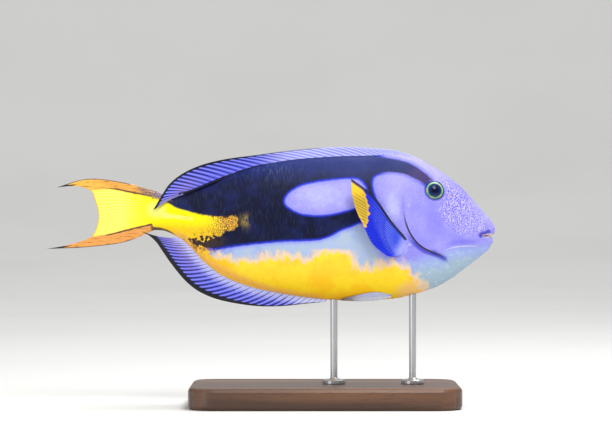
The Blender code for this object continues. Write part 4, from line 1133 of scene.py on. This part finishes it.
def tooth_tree():
    """A small spade-shaped tooth at each point, turned as the point says."""
    sockets = (("Roots", "Geometry"), ("Length", "Float"), ("Width", "Float"), ("Finish", "Material"))
    tree, given = new_tree("teeth", sockets, "Teeth")
    turn = node(tree, "GeometryNodeInputNamedAttribute", {"Name": "turn"}, data_type="FLOAT_VECTOR")
    size = node(tree, "GeometryNodeInputNamedAttribute", {"Name": "size"}, data_type="FLOAT")
    tip = node(
        tree, "ShaderNodeMath", {"Value": given.outputs["Width"], "Value_001": 0.55}, operation="MULTIPLY"
    )
    crown = node(
        tree, "GeometryNodeMeshCone",
        {"Vertices": 10, "Side Segments": 3, "Radius Top": tip, "Radius Bottom": given.outputs["Width"],
         "Depth": given.outputs["Length"]},
    )  # fmt: skip
    flat = node(tree, "GeometryNodeTransform", {"Geometry": crown, "Scale": (1.0, 0.6, 1.0)})
    rows = node(
        tree, "GeometryNodeInstanceOnPoints",
        {
            "Points": given.outputs["Roots"], "Instance": flat, "Scale": size,
            "Rotation": node(tree, "FunctionNodeEulerToRotation", {"Euler": turn}),
        },
    )  # fmt: skip
    return finish_tree(tree, rows, given, "Teeth")


def scale_tree():
    """A low pointed plate at each root, its flat side on the skin and its long side along the body."""
    sockets = (("Roots", "Geometry"), ("Width", "Float"), ("Height", "Float"), ("Finish", "Material"))
    tree, given = new_tree("scales", sockets, "Scales")
    up = node(tree, "GeometryNodeInputNamedAttribute", {"Name": "up"}, data_type="FLOAT_VECTOR")
    forward = node(tree, "GeometryNodeInputNamedAttribute", {"Name": "forward"}, data_type="FLOAT_VECTOR")
    size = node(tree, "GeometryNodeInputNamedAttribute", {"Name": "size"}, data_type="FLOAT")
    turn = node(
        tree, "FunctionNodeAxesToRotation", {"Primary Axis": up, "Secondary Axis": forward},
        primary_axis="Z", secondary_axis="X",
    )  # fmt: skip
    radius = node(
        tree, "ShaderNodeMath", {"Value": given.outputs["Width"], "Value_001": 0.5}, operation="MULTIPLY"
    )
    plate = node(
        tree, "GeometryNodeMeshCone",
        {"Vertices": 5, "Radius Top": 0.0, "Radius Bottom": radius, "Depth": given.outputs["Height"]},
    )  # fmt: skip
    turned = node(tree, "GeometryNodeTransform", {"Geometry": plate, "Rotation": (0, 0, math.pi)})
    long = node(tree, "GeometryNodeTransform", {"Geometry": turned, "Scale": (1.25, 1.0, 1.0)})
    rows = node(
        tree, "GeometryNodeInstanceOnPoints",
        {"Points": given.outputs["Roots"], "Instance": long, "Rotation": turn, "Scale": size},
    )  # fmt: skip
    return finish_tree(tree, rows, given, "Scales", smooth=False)


def scale_rows(seed):
    """Stations, angles and sizes of the scales, row behind row, finer on the head and the tail stalk."""
    width = bpy.context.scene.tang_skin.scale_width
    dense = np.linspace(0.02, math.pi - 0.02, 300)
    chance = np.random.default_rng(seed)
    x, found, row = 0.1195, [], 0
    while x > -0.0668:
        size = 1 - 0.22 * smooth_step(0.070, 0.078, x) - 0.22 * smooth_step(-0.040, -0.050, x)
        at = station_at(x)
        profile = section_points(at, dense)
        run = run_along(profile)
        step = width * size
        where = np.arange(step * (0.25 + 0.5 * (row % 2)), run[-1], step)
        where += chance.uniform(-SCALE_JITTER, SCALE_JITTER, len(where)) * step
        angle = np.interp(where, run, dense)
        place = station_at(x + chance.uniform(-SCALE_JITTER, SCALE_JITTER, len(where)) * step)
        found.append(np.stack([place, angle, size * chance.uniform(0.9, 1.1, len(where))], axis=1))
        x -= 1.05 * step
        row += 1
    return np.concatenate(found)


def build_scales():
    """Small overlapping scales over the whole skin but for the eyes, lips, gill edge and sheaths."""
    settings = bpy.context.scene.tang_skin
    rows = scale_rows(SCALE_SEED)
    at, angle, size = rows.T
    plain = section_points(at, angle, -COAT_DEPTH)
    ahead_point = section_points(at - 0.02, angle, -COAT_DEPTH)
    lower_point = section_points(at, angle + 0.004, -COAT_DEPTH)
    forward = ahead_point - plain
    up = unit(np.cross(forward, lower_point - plain))
    forward = unit(forward)
    up[up[:, 1] < 0] *= -1
    roots = raise_relief(plain)
    x, y, z = roots.T
    # Each scale's front edge dips under the one ahead, some more than others.
    up = up + np.random.default_rng(TILT_SEED).uniform(0.03, 0.08, (len(up), 1)) * forward
    bare = (
        (from_eye(roots) < 0.0064)
        | (np.abs(gill_distance(x, z)) < 0.0006) & (z > -0.019) & (z < 0.013)
        | (depth_in("mouth", x, z) > -0.6)
        | (from_line(np.array([SPINE_REAR, SPINE_TIP]), x, z) < 0.0016)
        | (np.hypot(x - NOSTRILS[0][0], z - NOSTRILS[0][1]) < 0.0012)
        | (np.hypot(x - NOSTRILS[1][0], z - NOSTRILS[1][1]) < 0.0010)
        | (x > 0.1190)
    )  # fmt: skip
    kept = ~bare
    tree, finish = scale_tree(), bpy.data.materials["airbrushed_resin_fish_skin"]
    for name, side in (("left", 1), ("right", -1)):
        flip = np.array([1, side, 1])
        laid = {"up": (up * flip)[kept], "forward": (forward * flip)[kept], "size": size[kept]}
        source = make_piece(f"scales_{name}", (roots * flip)[kept], [], None, laid)
        values = {"Width": settings.scale_width * 1.3, "Height": COAT_DEPTH * 0.55, "Finish": finish}
        piece = grow(f"scales_{name}", source, tree, values)
        corners = points_of(piece.data) - (0, 0, AXIS_HEIGHT)
        dress(piece.data, corners)
        map_scales(piece.data, at[kept], angle[kept], side)
        keep(piece, "skin")


def map_scales(mesh, at, angle, side):
    """A UV map in which each scale has its own small patch at its place on the unrolled skin."""
    corner = np.empty(len(mesh.loops), dtype=int)
    mesh.loops.foreach_get("vertex_index", corner)
    each = len(mesh.vertices) // len(at)
    turn = np.append(np.linspace(0, 2 * math.pi, each - 1, endpoint=False), 0)
    spread = np.append(np.full(each - 1, 0.0015), 0)
    u = 0.02 + 0.96 * (at[corner // each] / (len(STATIONS) - 1)) + (spread * np.cos(turn))[corner % each]
    v = 0.5 + side * (0.01 + 0.47 * angle[corner // each] / math.pi) + (spread * np.sin(turn))[corner % each]
    mesh.uv_layers.new(name="OFBake").data.foreach_set("uv", np.stack([u, v], axis=1).astype("f4").ravel())


def build_teeth():
    """One row of small close-set teeth along each lip's inner edge."""
    per_jaw, spread = 19, math.radians(66)
    turn = np.linspace(-spread, spread, 200)
    roots, turns, sizes = [], [], []
    for jaw, middle in ((1, 0.0), (-1, math.pi)):
        run = run_along(section_points(TOOTH_STATION, middle + turn))
        where = np.interp(np.linspace(0, run[-1], per_jaw), run, turn)
        root = section_points(TOOTH_STATION, middle + where)
        along = section_points(TOOTH_STATION, middle + where + 0.01) - root
        roots.append(root + (-0.0003, 0, jaw * 0.0003))
        heading = np.arctan2(along[:, 1], along[:, 0])
        turns.append(np.stack([heading * 0 + math.pi * (jaw > 0), heading * 0, heading], axis=1))
        sizes.append(1.0 - 0.3 * (where / spread) ** 2)
    set_in = {"size": np.concatenate(sizes), "turn": np.concatenate(turns)}
    source = make_piece("teeth", np.concatenate(roots), [], None, set_in)
    finish = bone_material("polished_resin_teeth", "D8C6CE", "F0E4E2")
    values = {"Length": 0.00078, "Width": 0.00043, "Finish": finish}
    keep(grow("teeth", source, tooth_tree(), values), "tail_spine")


# Fins


def beside_tail(x, z):
    """How far to the side a fin that folds down past the back's ridge has to lie."""
    ridge = through(STATIONS, station_at(x))[..., 1]
    below = 1 - smooth_step(0, 0.0009, z - ridge)
    return below * flank(x, z, grow=FOLD_CLEARANCE)


def median_guides(table, column, sink, sag):
    """Rays of a fin that stands on the body's middle line, on the back or the belly column."""
    x, tip_x, tip_z, hang = np.array(table).T
    root_z = through(STATIONS, station_at(x))[:, column] + sink
    root = np.stack([x, -ROOT_LEAN * hang, root_z + ROOT_LIFT * hang * (tip_z > 0)], axis=1)
    tip = np.stack([tip_x, -hang, tip_z], axis=1)
    length = np.linalg.norm(tip - root, axis=1)
    rays = []
    for share in (0, 0.12, 0.35, 0.67, 1):
        place = root + (tip - root) * share
        swing = 1 - (1 - share) ** 3
        place[:, 1] = root[:, 1] + (tip[:, 1] - root[:, 1]) * swing
        place[:, 2] -= sag * length * 4 * share * (1 - share)
        folded = (place[:, 2] > 0) & (hang > 0.001)
        place[folded, 1] = np.minimum(place[folded, 1], -beside_tail(place[folded, 0], place[folded, 2]))
        rays.append(place)
    return np.stack(rays, axis=1)


def caudal_guides():
    table = np.array(CAUDAL_GUIDES)
    root_x = STATIONS[-1][0] + CAUDAL_SINK
    middle = table[:, 0].mean()
    root_z = middle + (table[:, 0] - middle) * 0.93
    rays = [np.stack([np.full(len(table), root_x), table[:, 0] * 0, root_z], axis=1)]
    for column in (1, 3, 5):
        rays.append(np.stack([table[:, column], table[:, 0] * 0, table[:, column + 1]], axis=1))
    return np.stack(rays, axis=1)


def pectoral_guides(side):
    table = np.array(PECTORAL_GUIDES)
    longest = np.hypot(table[0, 6] - table[0, 0], table[0, 7] - table[0, 1])
    length = np.hypot(table[:, 6] - table[:, 0], table[:, 7] - table[:, 1])
    share = (0.35 + 0.65 * length / longest)[:, None]
    standoff = np.hstack([np.full_like(share, -PECTORAL_SINK), share * np.array(PECTORAL_STANDOFF)])
    x, z = table[:, 0::2], table[:, 1::2]
    return np.stack([x, side * (flank(x, z) + standoff), z], axis=-1)


def pelvic_guides(side):
    """Rays that lie back along the belly."""
    low, high = PELVIC_ANGLES
    rays = []
    for edge in np.linspace(0, 1, 4):
        x = PELVIC_ROOT_X + (PELVIC_TIP_X - PELVIC_ROOT_X) * np.array([0, 0.3, 0.7, 1])
        wide = np.array([0.35, 1.0, 0.7, 0.12])
        angle = PELVIC_TIP_ANGLE + (low + (high - low) * edge - PELVIC_TIP_ANGLE) * wide
        skin = section_points(station_at(x), angle)
        out = unit(section_points(station_at(x), angle, grow=0.001) - skin)
        lift = PELVIC_CLEAR + PELVIC_LIFT * np.array([-0.6, 0.05, 0.5, 1])
        place = skin + out * lift[:, None]
        place[:, 1] *= side
        rays.append(place)
    return np.stack(rays)


def sheet_of(guides, columns, rows):
    across = through(guides, np.linspace(0, len(guides) - 1, columns + 1))
    reach = np.linspace(0, guides.shape[1] - 1, rows + 1)
    return np.stack([through(ray, reach) for ray in across])


def place_on(sheet, across, reach):
    """Places on a grid of points or values from shares of its two sides."""
    column = np.clip(across, 0, 1) * (sheet.shape[0] - 1.0001)
    row = np.clip(reach, 0, 1) * (sheet.shape[1] - 1.0001)
    return blend_cells(sheet, column, row)


def branches(middle, spacing, splits, spread):
    """The stretches of one ray that forks at each split: shares across and along the fin, with how
    often each has forked."""
    made = []

    def stretch(start, across, slope, level):
        end = splits[level] if level < len(splits) else 1.0
        reach = np.linspace(start, end, max(4, round(26 * (end - start)) + 2))
        made.append((across + slope * (reach - start), reach, level))
        if level < len(splits):
            there = across + slope * (end - start)
            fan = spread * spacing / (1 - end) / 2**level
            for way in (-1, 1):
                stretch(end, there, slope + way * fan, level + 1)

    stretch(0.0, middle, 0.0, 0)
    return made


def build_fin(name, guides, rays, spines, splits, thickness, ray_radius, finish, slot, replaced, values=None):
    """A thin membrane with its edge and root, and tapering rays that fork towards the edge."""
    fins = bpy.context.scene.tang_fins
    columns, rows = rays * 6, 36
    sheet = sheet_of(guides, columns, rows)
    across = np.linspace(0, 1, columns + 1)[:, None] * np.ones(rows + 1)
    reach = np.linspace(0, 1, rows + 1) * np.ones((columns + 1, 1))
    seen = sheet[:, :, [0, 2]]
    flat = seen.reshape(-1, 2)

    def away(line):
        parts = [from_line(line, *part.T) for part in np.array_split(flat, 4)]
        return np.concatenate(parts).reshape(reach.shape) / MM

    known = {
        "across": across,
        "reach": reach,
        "between": np.abs((across * rays) % 1 - 0.5) * 2,
        "from_edge": away(seen[:, -1]),
        "from_front": away(seen[0]),
        "from_rear": away(seen[-1]),
        "from_root": away(seen[:, 0]),
        "yellow_tip": depth_in("fin_yellow", *flat.T).reshape(reach.shape),
    }
    known.update(values(known, sheet) if values else {})
    root, body, taper = thickness
    half = body / 2 + (root - body) / 2 * (1 - reach) ** taper
    half *= 0.35 + 0.65 * np.minimum(1, (1 - reach) * 6)
    half *= np.minimum(1, 0.3 + np.minimum(across, 1 - across) * rays * 2)
    half = np.maximum(half, known.pop("flesh", 0))
    corners, faces = slab(sheet, half)
    twice = {key: np.concatenate([value.ravel()] * 2) for key, value in known.items()}
    twice["on_ray"] = np.zeros(len(corners))
    web = make_piece(name, corners, faces, finish, twice)
    outward(web.data)
    keep(web, slot, *replaced)

    places, radii, edges, carried = [], [], [], {key: [] for key in known}
    thick, thin = ray_radius
    for i in range(rays):
        spine = i < spines
        for share, along, level in branches((i + 0.5) / rays, 1 / rays, () if spine else splits, 0.5):
            start = sum(map(len, radii))
            edges += [(start + k, start + k + 1) for k in range(len(share) - 1)]
            places.append(place_on(sheet, share, along))
            wide = thick * (1.25 if spine else 1)
            radii.append((thin + (wide - thin) * (1 - along) ** 0.8) * 0.74**level)
            for key, value in known.items():
                carried[key].append(place_on(value, share, along) * (key != "between"))
    lines = {key: np.concatenate(value) for key, value in carried.items()}
    lines["radius"] = np.concatenate(radii)
    lines["on_ray"] = np.ones(len(lines["radius"]))
    source = make_piece(f"{name}_rays", np.concatenate(places), [], None, lines, edges)
    tree = bpy.data.node_groups.get("fin_rays") or ray_tree()
    keep(grow(f"{name}_rays", source, tree, {"Sides": fins.ray_sides, "Finish": finish}), slot)


def median_coats(front, root, pale):
    """Violet with a dark line of painted shade between the rays, stronger towards the tail, painted highlights
    along the rays there, and a black border.
    """
    fins = bpy.context.scene.tang_fins
    return (
        (front, "calm", 0.0, 0.8, 0.2, 1.0),
        (paint("D6DAFB"), "from_root", 1.0 + root, 0.4, 2.5, pale),
        (paint("E0E2FD"), "between", 0.50, 0.10, 0.2, ("calm", 0.6)),
        (paint("5B61DE"), "between", 0.62, 0.92, 0.1, ("calm", 0.55)),
        # Towards the tail: painted highlight along the rays' lit ridges, rust-brown lines, and painted shade in
        # the dark lines of membrane between the rays.
        (paint("A4ABFF"), "between", 0.4, 0.1, 0, ("striped", 0.45)),
        (paint("B98A58"), "dark", 0.38, 0.58, 0.3, ("rusty", 0.55)),
        (fins.stripe, "dark", 0.56, 0.90, 0.25, ("striped", 0.95)),
        (paint("8A829C"), "last", 0.2, 0.9, 0.4, 0.65),
        (fins.margin, "border", 1.25, 0.8, 0.4, 1.0),
    )  # fmt: skip


def build_median_fins():
    fins = bpy.context.scene.tang_fins
    back_coats = median_coats(paint("A2A4F6"), 0.5, ("calm", 0.75))
    belly_coats = median_coats(paint("BAC5F3"), 6.5, 0.8)
    back = fin_material("lacquered_resin_back_fin", fins.violet, back_coats)
    belly = fin_material("lacquered_resin_belly_fin", fins.violet, belly_coats)

    def values_of(begins, full, front_edge, rear_edge, base_line):
        def values(known, sheet):
            x = sheet[:, :, 0]
            striped = smooth_step(begins, full, x)
            border = known["from_edge"] / (front_edge + (rear_edge - front_edge) * smooth_step(0.004, -0.036, x))
            border += 3 * smooth_step(0.020, 0.045, x) - 0.45 * known["between"] * striped
            if base_line:
                fade = smooth_step(-0.010, 0.035, x) + smooth_step(0.93, 0.98, known["across"])
                border = np.minimum(border, known["from_root"] / 1.2 + 3 * fade)
            return {
                "striped": striped,
                "calm": 1 - striped,
                "dark": known["between"] + 0.55 * (known["reach"] - 0.5),
                "rusty": smooth_step(-0.034, -0.052, x) * (1 - smooth_step(0.5, 0.9, known["reach"])),
                "last": smooth_step(0.92, 0.99, known["across"]) * base_line,
                "border": border,
            }

        return values

    guides = median_guides(DORSAL_GUIDES, 1, -FIN_SINK, DORSAL_SAG)
    build_fin("dorsal_fin_skin", guides, 46, 9, (0.45,), (0.0011, fins.membrane, 10), (0.00034, 0.00011),
              back, "blue_fin", ("dorsal_fin",), values_of(0.024, -0.018, 0.25, 1.0, True))  # fmt: skip
    guides = median_guides(ANAL_GUIDES, 3, FIN_SINK, ANAL_SAG)
    build_fin("anal_fin_skin", guides, 34, 3, (0.45,), (0.0011, fins.membrane, 10), (0.00036, 0.00011),
              belly, "blue_fin", ("anal_fin",), values_of(0.030, 0.004, 0.4, 2.2, False))  # fmt: skip


def build_tail_fin():
    skin, fins = bpy.context.scene.tang_skin, bpy.context.scene.tang_fins

    def coats(tree):
        place, flat = side_view(tree)
        dots = node(
            tree, "ShaderNodeTexVoronoi", {"Vector": flat, "Scale": 1400.0, "Randomness": 0.9},
            voronoi_dimensions="2D",
        )  # fmt: skip
        # Streaks 0.6 mm wide and 6 mm long where the brown has worn through the orange.
        drawn = node(tree, "ShaderNodeMapping", {"Vector": place, "Scale": (170.0, 300.0, 1600.0)})
        worn = node(tree, "ShaderNodeTexNoise", {"Vector": drawn, "Scale": 1.0, "Detail": 3.0})
        return (
            (paint("FDF66A"), "reach", 0.20, 0.60, 0.3, 0.85),
            (paint("FFFBA0"), "between", 0.45, 0.1, 0.2, ("open", 0.35)),
            (paint("F2D22A"), "between", 0.55, 0.9, 0.3, ("open", 0.4)),
            (paint("E2A92C"), "from_edge", 0.9, 0.3, 0.3, 0.7),
            (paint("FCF88A"), "stalk_light", 0.2, 0.9, 0.5, 0.7),
            (fins.lobe, "lobe", -0.12, 0.12, 0.12, 1.0),
            (paint("F8CC52"), "lobe_light", 0.0, 1.0, 0.6, 0.5),
            (paint("E59A58"), "lobe_low", 0.2, 0.9, 0.5, 0.6),
            (paint("B4702C"), "between", 0.5, 0.95, 0.6, ("lobe_full", 0.4)),
            (paint("8E5426"), worn, 0.54, 0.68, 0, ("lobe_full", 0.75)),
            (paint("43281C"), "dark_line", 0.0, 0.7, 1.2, 0.9),
            (paint("9A7C70"), "speckled", 0.1, 0.8, 0.6, 0.75),
            (paint("33293A"), dots, 0.46, 0.32, 0, ("speckled", 0.9)),
            (paint("3A2730"), "under", 0.2, 0.7, 0.5, 0.85),
            (paint("2C2A33"), "outer", 0.5, 0.2, 0.1, 0.9),
            (paint("15181C"), "tip", 0.3, 0.7, 0.3, 1.0),
        )  # fmt: skip

    def values(known, sheet):
        across, reach = known["across"] * 8, known["reach"]
        into_lobe = np.maximum(2 - across, across - 6)
        full = smooth_step(-0.1, 0.1, into_lobe)
        near_root = 1 - smooth_step(0.08, 0.28, reach)
        end = STATIONS[-1][0]
        x, z = sheet[:, :, 0], sheet[:, :, 2]
        level = np.clip(2 * across / 8 - 1, -1, 1)
        stalk = (STATIONS[-1][4] - COAT_DEPTH) * (1 - level**2) ** 0.45 * (1 - smooth_step(0, 0.011, end - x))
        return {
            "lobe": into_lobe,
            "lobe_full": full,
            "lobe_low": full * (across > 4),
            "open": smooth_step(0.08, 0.35, reach),
            "lobe_light": smooth_step(0.5, 0.75, reach) * full * (across < 4),
            "dark_line": 1 - np.abs(into_lobe - 0.12) / 0.26 * (1 + reach * 1.5)
            - 1.2 * smooth_step(0.62, 0.9, reach),
            "speckled": near_root * smooth_step(-0.3, 0.5, into_lobe) * (across < 4),
            "stalk_light": hill(np.hypot(x + 0.0640, (z - 0.0090) / 0.9), 0.0060),
            "under": (1 - smooth_step(0.02, 0.11, reach)) * smooth_step(-0.5, 0.1, into_lobe) * (across > 4),
            "outer": np.minimum(known["from_front"], known["from_rear"]) + 3 * near_root,
            "tip": smooth_step(0.86, 0.95, reach) * ((across < 0.8) | (across > 7.2)),
            "flesh": stalk,
        }

    finish = fin_material("lacquered_resin_tail_fin", skin.lemon, coats)
    build_fin("tail_fin_skin", caudal_guides(), 30, 0, (0.28, 0.62), (0.0008, 0.00034, 14), (0.00044, 0.00010),
              finish, "yellow_fin", ("tail_fin_upper_lobe", "tail_fin_middle", "tail_fin_lower_lobe"),
              values)  # fmt: skip


def build_paired_fins():
    fins = bpy.context.scene.tang_fins
    blue = fin_material("lacquered_resin_side_fin", fins.pectoral, (
        (paint("3E5CF0"), "reach", 0.5, 0.15, 0.2, 0.8),
        (paint("A3A8F7"), "from_root", 8.0, 2.5, 2.5, 0.9),
        (paint("7E92F8"), "on_ray", 0.4, 0.6, 0, 0.7),
        (paint("060F86"), "between", 0.5, 0.9, 0.1, ("outer_part", 0.7)),
        (paint("D9A92E"), "yellow_tip", -0.3, 0.2, 2.6, 1.0),
        (paint("F3C428"), "yellow_tip", 0.2, 1.4, 4.0, 1.0),
        (paint("AE902C"), "olive", 0.1, 0.9, 0.6, 0.65),
        (paint("6E6A34"), "between", 0.5, 0.9, 0.1, ("olive", 0.8)),
        (paint("0A1468"), "from_front", 1.8, 1.2, 0.3, 0.9),
        (paint("04061E"), "from_front", 0.85, 0.5, 0.2, 1.0),
    ))  # fmt: skip
    pale = fin_material("lacquered_resin_belly_vane", paint("C6CBEC"), (
        (paint("E6EBFA"), "across", 0.2, 0.6, 0.3, 0.9),
        (paint("8F7F6C"), "reach", 0.55, 0.85, 0.3, 0.9),
        (paint("4A4636"), "reach", 0.88, 0.97, 0.2, 0.8),
        # Painted shade: a thin dark line along the front edge.
        (paint("6A6E92"), "from_front", 0.5, 0.2, 0.1, 0.6),
    ))  # fmt: skip

    def values(known, sheet):
        # The yellow patch ends at its own place on each ray.
        ragged = 0.30 * np.sin(known["across"] * 47) + 0.20 * np.sin(known["across"] * 119)
        return {
            "yellow_tip": known["yellow_tip"] + ragged,
            "outer_part": smooth_step(2.0, 9.0, known["from_root"]),
            "olive": smooth_step(0.2, 1.6, known["yellow_tip"]) * (1 - smooth_step(0.012, 0.022, sheet[:, :, 2])),
        }

    for name, side in (("left", 1), ("right", -1)):
        build_fin(f"pectoral_fin_skin_{name}", pectoral_guides(side), 22, 1, (0.40,), (0.0022, 0.00028, 7),
                  (0.00034, 0.00009), blue, "blue_fin", (f"pectoral_fin_{name}",), values)  # fmt: skip
        build_fin(f"pelvic_fin_skin_{name}", pelvic_guides(side), 5, 1, (0.5,), (0.0010, 0.00028, 10),
                  (0.00030, 0.00010), pale, "pale_fin", (f"pelvic_fin_{name}",))  # fmt: skip


# Stand and stage


def build_stand():
    """The base and rods keep their solids and get their finishes."""
    wood, steel = stand_materials()
    for name, finish in (("stand_base", wood), ("stand_rod_front", steel), ("stand_rod_rear", steel)):
        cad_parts[name].material_slots[0].material = finish


def build_stage():
    settings = bpy.context.scene.tang_stage
    paper, tree, shader = new_material("matt_seamless_paper")
    place = node(tree, "ShaderNodeTexCoord").outputs["Object"]
    cloud = node(tree, "ShaderNodeTexNoise", {"Vector": place, "Scale": 3.0})
    colour = lay_coats(tree, settings.floor, ((paint("D0CFCC"), cloud, 0.4, 0.7, 0, 0.5),), cloud)
    shine(tree, shader, colour, 0.9)
    # A floor that rises all round, far behind the camera.
    radius, rise, columns = (0.0, 0.6, 2.4, 3.0, 3.5, 3.9, 4.2, 4.35), (0, 0, 0, 0.04, 0.17, 0.45, 0.9, 1.5), 96
    turn = np.linspace(0, 2 * math.pi, columns, endpoint=False)
    rings = [[(r * math.cos(a), r * math.sin(a), z) for a in turn] for r, z in zip(radius[1:], rise[1:])]
    points = np.concatenate([np.array(rings).reshape(-1, 3), [[0, 0, 0]]])
    faces = [face[::-1] for face in grid_faces(len(rings), columns, closed=True)]
    faces += [[i, (i + 1) % columns, len(points) - 1] for i in range(columns)]
    floor = make_piece("floor", points, faces, paper, raised=False)

    world = bpy.data.worlds.new("studio")
    bpy.context.scene.world = world
    world.use_nodes = True
    sky = world.node_tree.nodes["Background"]
    sky.inputs["Color"].default_value = paint("F2F4F8")
    sky.inputs["Strength"].default_value = 0.62
    fish, wall = Vector((0, 0, AXIS_HEIGHT)), Vector((0, 4.3, 0.8))
    lamps = (
        ("key_lamp", (0.30, -0.90, 1.10), 0.6, settings.key_power, fish),
        ("fill_lamp", (-0.9, -0.9, 0.35), 0.9, settings.key_power * 0.4, fish),
        ("rim_lamp", (0.40, 0.15, 1.20), 0.6, settings.key_power * 1.2, fish),
        ("backdrop_lamp", (0, 1.6, 2.4), 2.0, settings.key_power * 3, wall),
    )
    for name, spot, size, power, aim in lamps:
        light = bpy.data.lights.new(name, "AREA")
        light.shape = "DISK"
        light.energy, light.size = power, size
        lamp = bpy.data.objects.new(name, light)
        lamp.location = spot
        lamp.rotation_euler = (aim - Vector(spot)).to_track_quat("-Z", "Y").to_euler()
        bpy.context.scene.collection.objects.link(lamp)

    camera = bpy.data.objects.new("camera", bpy.data.cameras.new("camera"))
    camera.location = CAMERA_PLACE
    camera.rotation_euler = (math.radians(90), 0, 0)
    camera.data.lens = CAMERA_LENS
    bpy.context.scene.collection.objects.link(camera)
    bpy.context.scene.camera = camera
    bpy.context.scene.view_settings.view_transform = "Standard"


class BlueTangOperator:
    """What each piece's button does: it runs the piece's maker."""

    bl_options = {"REGISTER", "UNDO"}

    def execute(self, context):
        self.make()
        return {"FINISHED"}


class TANG_OT_stage(BlueTangOperator, bpy.types.Operator):
    """Set up the floor, the lamps and the camera"""

    bl_idname = "tang.stage"
    bl_label = "Stage"
    make = staticmethod(build_stage)


class TANG_OT_stand(BlueTangOperator, bpy.types.Operator):
    """Finish the walnut base and the steel rods"""

    bl_idname = "tang.stand"
    bl_label = "Stand"
    make = staticmethod(build_stand)


class TANG_OT_skin(BlueTangOperator, bpy.types.Operator):
    """Build the one skin of head, trunk and tail with its markings"""

    bl_idname = "tang.skin"
    bl_label = "Skin"
    make = staticmethod(build_skin)


class TANG_OT_scales(BlueTangOperator, bpy.types.Operator):
    """Lay the small overlapping scales over the skin"""

    bl_idname = "tang.scales"
    bl_label = "Scales"
    make = staticmethod(build_scales)


class TANG_OT_eyes(BlueTangOperator, bpy.types.Operator):
    """Build both glass eyes"""

    bl_idname = "tang.eyes"
    bl_label = "Eyes"
    make = staticmethod(build_eyes)


class TANG_OT_teeth(BlueTangOperator, bpy.types.Operator):
    """Set the small teeth in both jaws"""

    bl_idname = "tang.teeth"
    bl_label = "Teeth"
    make = staticmethod(build_teeth)


class TANG_OT_tail_spines(BlueTangOperator, bpy.types.Operator):
    """Build the blade on each side of the tail stalk"""

    bl_idname = "tang.tail_spines"
    bl_label = "Tail spines"
    make = staticmethod(build_tail_spines)


class TANG_OT_median_fins(BlueTangOperator, bpy.types.Operator):
    """Build the back fin and the belly fin with their rays"""

    bl_idname = "tang.median_fins"
    bl_label = "Back and belly fins"
    make = staticmethod(build_median_fins)


class TANG_OT_tail_fin(BlueTangOperator, bpy.types.Operator):
    """Build the forked tail fin with its rays"""

    bl_idname = "tang.tail_fin"
    bl_label = "Tail fin"
    make = staticmethod(build_tail_fin)


class TANG_OT_paired_fins(BlueTangOperator, bpy.types.Operator):
    """Build the side fins and the small fins under the belly"""

    bl_idname = "tang.paired_fins"
    bl_label = "Paired fins"
    make = staticmethod(build_paired_fins)


OPERATORS = (
    TANG_OT_stage, TANG_OT_stand, TANG_OT_skin, TANG_OT_scales, TANG_OT_eyes, TANG_OT_teeth, TANG_OT_tail_spines,
    TANG_OT_median_fins, TANG_OT_tail_fin, TANG_OT_paired_fins,
)  # fmt: skip
SETTINGS = {"tang_skin": TangSkinSettings, "tang_fins": TangFinSettings, "tang_stage": TangStageSettings}


class TANG_PT_panel(bpy.types.Panel):
    """Settings and buttons for each piece of the fish"""

    bl_label = "Regal Blue Tang"
    bl_space_type = "VIEW_3D"
    bl_region_type = "UI"
    bl_category = "Blue Tang"

    def draw(self, context):
        for key, group in SETTINGS.items():
            box = self.layout.box()
            for name in group.__annotations__:
                box.prop(getattr(context.scene, key), name)
        for operator in OPERATORS:
            self.layout.operator(operator.bl_idname)


def register():
    for key, group in SETTINGS.items():
        bpy.utils.register_class(group)
        setattr(bpy.types.Scene, key, PointerProperty(type=group))
    for made in (*OPERATORS, TANG_PT_panel):
        bpy.utils.register_class(made)


def unregister():
    for made in (TANG_PT_panel, *reversed(OPERATORS)):
        bpy.utils.unregister_class(made)
    for key, group in SETTINGS.items():
        delattr(bpy.types.Scene, key)
        bpy.utils.unregister_class(group)


def main():
    register()
    for operator in OPERATORS:
        group, name = operator.bl_idname.split(".")
        getattr(getattr(bpy.ops, group), name)()


if __name__ == "__main__":
    main()
